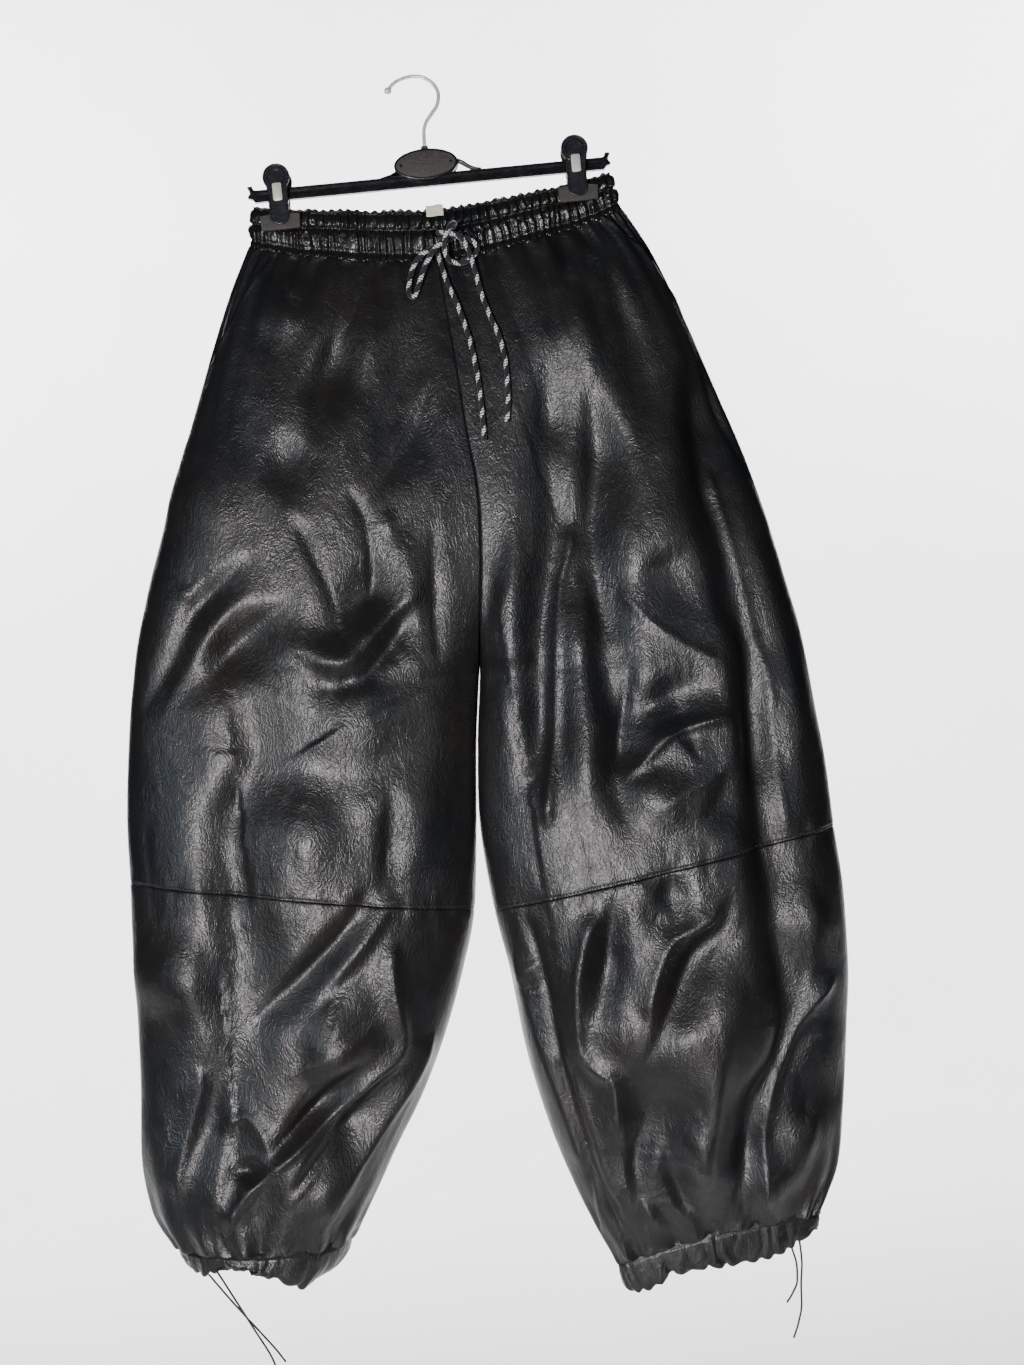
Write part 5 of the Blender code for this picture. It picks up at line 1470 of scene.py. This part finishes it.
def make_hanger(finish):
    """Ribbed bar with turned-up ends, flared webs, two crowned grained pads, a collar and the wire hook."""
    black = finish["hanger"]
    parts = [rail("bar", BAR_LEFT + 6, BAR_RIGHT - 6, ribbed_section(), black)]
    for end, way in ((BAR_LEFT, 1), (BAR_RIGHT, -1)):
        tip = [(end, BAR_TOP + 2.6), (end + way * 1.2, BAR_TOP + 4.0), (end + way * 4.6, BAR_TOP + 4.0),
               (end + way * 6.0, BAR_TOP + 0.4), (end + way * 8.5, BAR_TOP - 0.4),
               (end + way * 8.5, BAR_BOTTOM + 0.4), (end + way * 6.4, BAR_BOTTOM + 0.5),
               (end + way * 4.2, -97.6), (end + way * 0.4, -96.4), (end, -95.0), (end + way * 2.0, -92.6),
               (end + way * 2.0, BAR_TOP - 0.2)]
        parts.append(plate("end", tip, -3.6, 3.6, 0.5, black))
    left_web = [(HANGER_X + x, BAR_TOP + z) for x, z in
                ((-47, -0.6), (-36, 1.6), (-29, 5.0), (-24, 9.0), (-14, 11.0), (-14, -1.0))]
    parts.append(plate("web", left_web, -3.0, 3.0, 0.6, black))
    middle = oval(HANGER_X, PAD_Z, PAD_HALF_WIDTH - 0.6, PAD_HALF_HEIGHT - 0.6)[:-1]
    parts.append(plate("middle", middle, -BAR_HALF_DEPTH, BAR_HALF_DEPTH, 0.5, black))
    arm = ((23, -77.8), (28, -79.0), (33, -81.4), (38, -85.0), (43, -87.6), (50, -89.4))
    path = smooth_route([(HANGER_X + x, 0, z) for x, z in arm], 1.2)
    parts.append(tube("arm", path, np.linspace(2.5, 1.7, len(path)), 16, black, flat=1.4))
    collar = [(HANGER_X, 0, z) for z in (-69.5, -66.4, -65.6, -63.4)]
    parts.append(tube("collar", collar, (5.2, 5.0, 3.6, 3.3), 24, black))
    bound(join("hanger_bar", parts), "hanger_body")
    inner = BAR_HALF_DEPTH + 0.3
    for word, way in (("front", -1), ("back", 1)):
        rim = oval(HANGER_X, PAD_Z, PAD_HALF_WIDTH, PAD_HALF_HEIGHT)[:-1]
        face = oval(HANGER_X, PAD_Z, PAD_HALF_WIDTH - 2.0, PAD_HALF_HEIGHT - 2.0)[:-1]
        lip = plate("lip", rim, way * (inner + PAD_THICK * 0.62), way * inner, 0.9, finish["hanger"])
        crown = plate("crown", face, way * (inner + PAD_THICK * 0.80), way * (inner + 0.4), 0.8,
                      finish["grip"], crown=PAD_THICK * 0.2)
        knobs = [lip, crown]
        for side in (-1, 1):
            dot = oval(HANGER_X + side * (PAD_HALF_WIDTH - 6.5), PAD_Z, 1.3, 1.3, count=17)[:-1]
            knobs.append(plate("dot", dot, way * (inner + PAD_THICK * 0.98), way * (inner + 1.5), 0.4,
                               finish["hanger"]))
        pad = join("hanger_pad_" + word + "_grained", knobs)
        bound(pad, "hanger_pad_" + word)
    route = np.array([(x, 0.0, z) for x, z in HOOK_ROUTE])
    path = smooth_route(route, 0.8)
    size = np.full(len(path), HOOK_WIRE / 2)
    from_tip = np.arange(len(path)) * 0.8
    ball = np.sqrt(np.maximum(HOOK_BALL ** 2 - (from_tip - HOOK_BALL + 0.2) ** 2, 0.05))
    size = np.where(from_tip < 2 * HOOK_BALL, np.maximum(ball, np.where(from_tip > HOOK_BALL, size, 0)), size)
    hook = tube("hanger_hook_wire", path, size, 28, finish["wire"])
    bound(hook, "hanger_hook")


def make_clip(word, x, finish):
    """A sliding clip: saddle over the bar, tongues with a raised head ring, grained grips, a spring."""
    plastic = finish["clip"]
    front = GRIP_FACE + GRIP_THICK
    half = SADDLE_WIDTH / 2
    slot = BAR_HALF_DEPTH + 0.4
    parts = []
    for way in (-1, 1):
        cheek = [(x - half, SADDLE_TOP), (x + half, SADDLE_TOP), (x + half + 1.5, SADDLE_BOTTOM + 6),
                 (x + half, SADDLE_BOTTOM), (x - half, SADDLE_BOTTOM), (x - half - 1.5, SADDLE_BOTTOM + 6)]
        parts.append(plate("cheek", cheek, way * front, way * slot, 0.8, plastic))
    top = [(x - half, SADDLE_TOP), (x + half, SADDLE_TOP), (x + half, BAR_TOP + 0.6),
           (x - half, BAR_TOP + 0.6)]
    parts.append(plate("roof", top, -front + 1, front - 1, 0.8, plastic))
    bound(join("clip_saddle_" + word + "_moulding", parts), "clip_saddle_" + word)
    head = TONGUE_HEAD / 2
    wide = TONGUE_WIDTH / 2
    centre = TONGUE_TOP - head
    shape = np.concatenate([
        oval(x, centre, head, head, 222, -42, 31),
        [(x + wide, TONGUE_TOP - 2 * head - 2)],
        oval(x, TONGUE_BOTTOM + 7, wide, 7, 0, -180, 17),
        [(x - wide, TONGUE_TOP - 2 * head - 2)]])
    for face, way in (("front", -1), ("back", 1)):
        near = way * (front + 0.3)
        far = near + way * TONGUE_THICK
        parts = [plate("tongue", shape, far - way * 0.7, near, 0.6, plastic)]
        ring = oval(x, centre, head - 1.4, head - 1.4, count=61)[:-1]
        path = np.stack([ring[:, 0], np.full(60, far - way * 0.7), ring[:, 1]], axis=1)
        parts.append(closed_tube("rim", path, 0.75, plastic))
        # a dished disc inside the head ring in the darker hanger plastic: a real dip, with painted shade in
        # the recess
        recess = oval(x, centre, head - 3.6, head - 3.6, count=41)[:-1]
        parts.append(plate("recess", recess, far - way * 0.55, near + way * 0.4, 0.15, finish["hanger"],
                           crown=-0.5))
        ring = oval(x, centre, head - 6.0, head - 6.0, count=61)[:-1]
        path = np.stack([ring[:, 0], np.full(60, far - way * 0.75), ring[:, 1]], axis=1)
        parts.append(closed_tube("inner_ring", path, 0.5, plastic))
        edge = np.concatenate([[(x - wide + 1.2, -97)],
                               oval(x, TONGUE_BOTTOM + 7, wide - 1.2, 5.8, 180, 360, 21),
                               [(x + wide - 1.2, -97)]])
        path = np.stack([edge[:, 0], np.full(len(edge), far - way * 0.7), edge[:, 1]], axis=1)
        parts.append(tube("lower_rim", path, 0.65, 10, plastic))
        if face == "back":
            window = ((-5.6, -86), (5.6, -86), (5.6, -104), (-5.6, -104))
            path = np.array([(x + px, far - way * 0.7, pz) for px, pz in window])
            parts.append(closed_tube("window", path, 0.5, plastic))
        piece = join("clip_tongue_" + face + "_" + word + "_moulding", parts)
        bound(piece, "clip_tongue_" + face + "_" + word)
        tilt = 1.2
        grip = [(x - GRIP_WIDTH / 2, GRIP_TOP - tilt), (x - 9, GRIP_TOP), (x + 9, GRIP_TOP),
                (x + GRIP_WIDTH / 2, GRIP_TOP - tilt), (x + GRIP_WIDTH / 2 - 0.8, GRIP_BOTTOM + 0.4),
                (x + 6, GRIP_BOTTOM), (x - 6, GRIP_BOTTOM), (x - GRIP_WIDTH / 2 + 0.8, GRIP_BOTTOM + 0.4)]
        pad = plate("clip_grip_" + face + "_" + word + "_pad", grip, way * (GRIP_FACE + GRIP_THICK),
                    way * GRIP_FACE, 0.7, finish["grip"], crown=0.3)
        bound(pad, "clip_grip_" + face + "_" + word)
    outer = -(front + 0.6 + TONGUE_THICK)
    edge = SPRING_WIDTH / 2 - 0.6
    spring = [(x - edge, SPRING_TOP - 1), (x - edge + 1, SPRING_TOP), (x + edge - 1, SPRING_TOP),
              (x + edge, SPRING_TOP - 1), (x + edge, SPRING_BOTTOM + 1), (x + edge - 1, SPRING_BOTTOM),
              (x - edge + 1, SPRING_BOTTOM), (x - edge, SPRING_BOTTOM + 1)]
    metal = plate("clip_spring_" + word + "_steel", spring, outer - SPRING_THICK, outer + 0.6, 0.25,
                  finish["spring"], crown=0.5)
    bound(metal, "clip_spring_" + word)


def closed_tube(name, path, radius, material):
    """A round profile carried along a closed path."""
    along = np.roll(path, -1, axis=0) - np.roll(path, 1, axis=0)
    along /= np.linalg.norm(along, axis=1, keepdims=True)
    across = np.cross(along, (0.0, 1.0, 0.0))
    angle = np.linspace(0, 2 * math.pi, 10, endpoint=False)
    up = np.cross(across, along)
    grid = path[:, None] + radius * (np.cos(angle)[None, :, None] * across[:, None]
                                     + np.sin(angle)[None, :, None] * up[:, None])
    faces = quads_of(len(path), 10, True).tolist()
    last = (len(path) - 1) * 10
    for s in range(10):
        n = (s + 1) % 10
        faces.append([last + s, last + n, n, s])
    thing = mesh_object(name, grid.reshape(-1, 3), faces, material)
    turn_out(thing)
    return thing


def make_label(finish):
    """The blank ribbon label: one strip carried over the waistband's edge, down its front and its back."""
    front, back, top = -18.1, -10.6, -121.7
    low = top - LABEL_DROP
    route = np.array([(front - 0.3, low), (front - 0.1, low + 4), (front, top - 1.6),
                      (front + 1.4, top - 0.1), (-14.4, top + 0.25), (back - 1.4, top - 0.1),
                      (back, top - 1.6), (back, low + 2)])
    at = length_along(route)
    t = np.linspace(0, at[-1], 46)
    y = curve_through(at, route[:, 0], t)
    z = curve_through(at, route[:, 1], t)
    across = np.linspace(-0.5, 0.5, 25)[None, :]
    grid = np.empty((46, 25, 3))
    grid[..., 0] = LABEL_X + LABEL_WIDTH * across
    grid[..., 1] = y[:, None] + 0.25 * np.sin(across * 9 + t[:, None] * 0.3)
    grid[..., 2] = z[:, None] + 0.3 * np.sin(across * 7)
    out = np.zeros_like(grid)
    out[..., 1] = np.where(t[:, None] < at[-1] / 2, -1.0, 1.0)
    out[..., 2] = 0.5
    piece = skin("waist_label_ribbon", grid, out, finish["ribbon"], 0.5, uv=grid_uv(grid))
    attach(piece, BODY)
    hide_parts("waist_label")


def main():
    """Makes every piece, then the camera, the lights and the paper."""
    finish = make_finishes()
    place_camera()
    make_cords(finish)
    make_trousers(finish)
    make_hanger(finish)
    make_clip("left", CLIP_X[0], finish)
    make_clip("right", CLIP_X[1], finish)
    make_label(finish)
    light_the_scene()
    backdrop()


main()
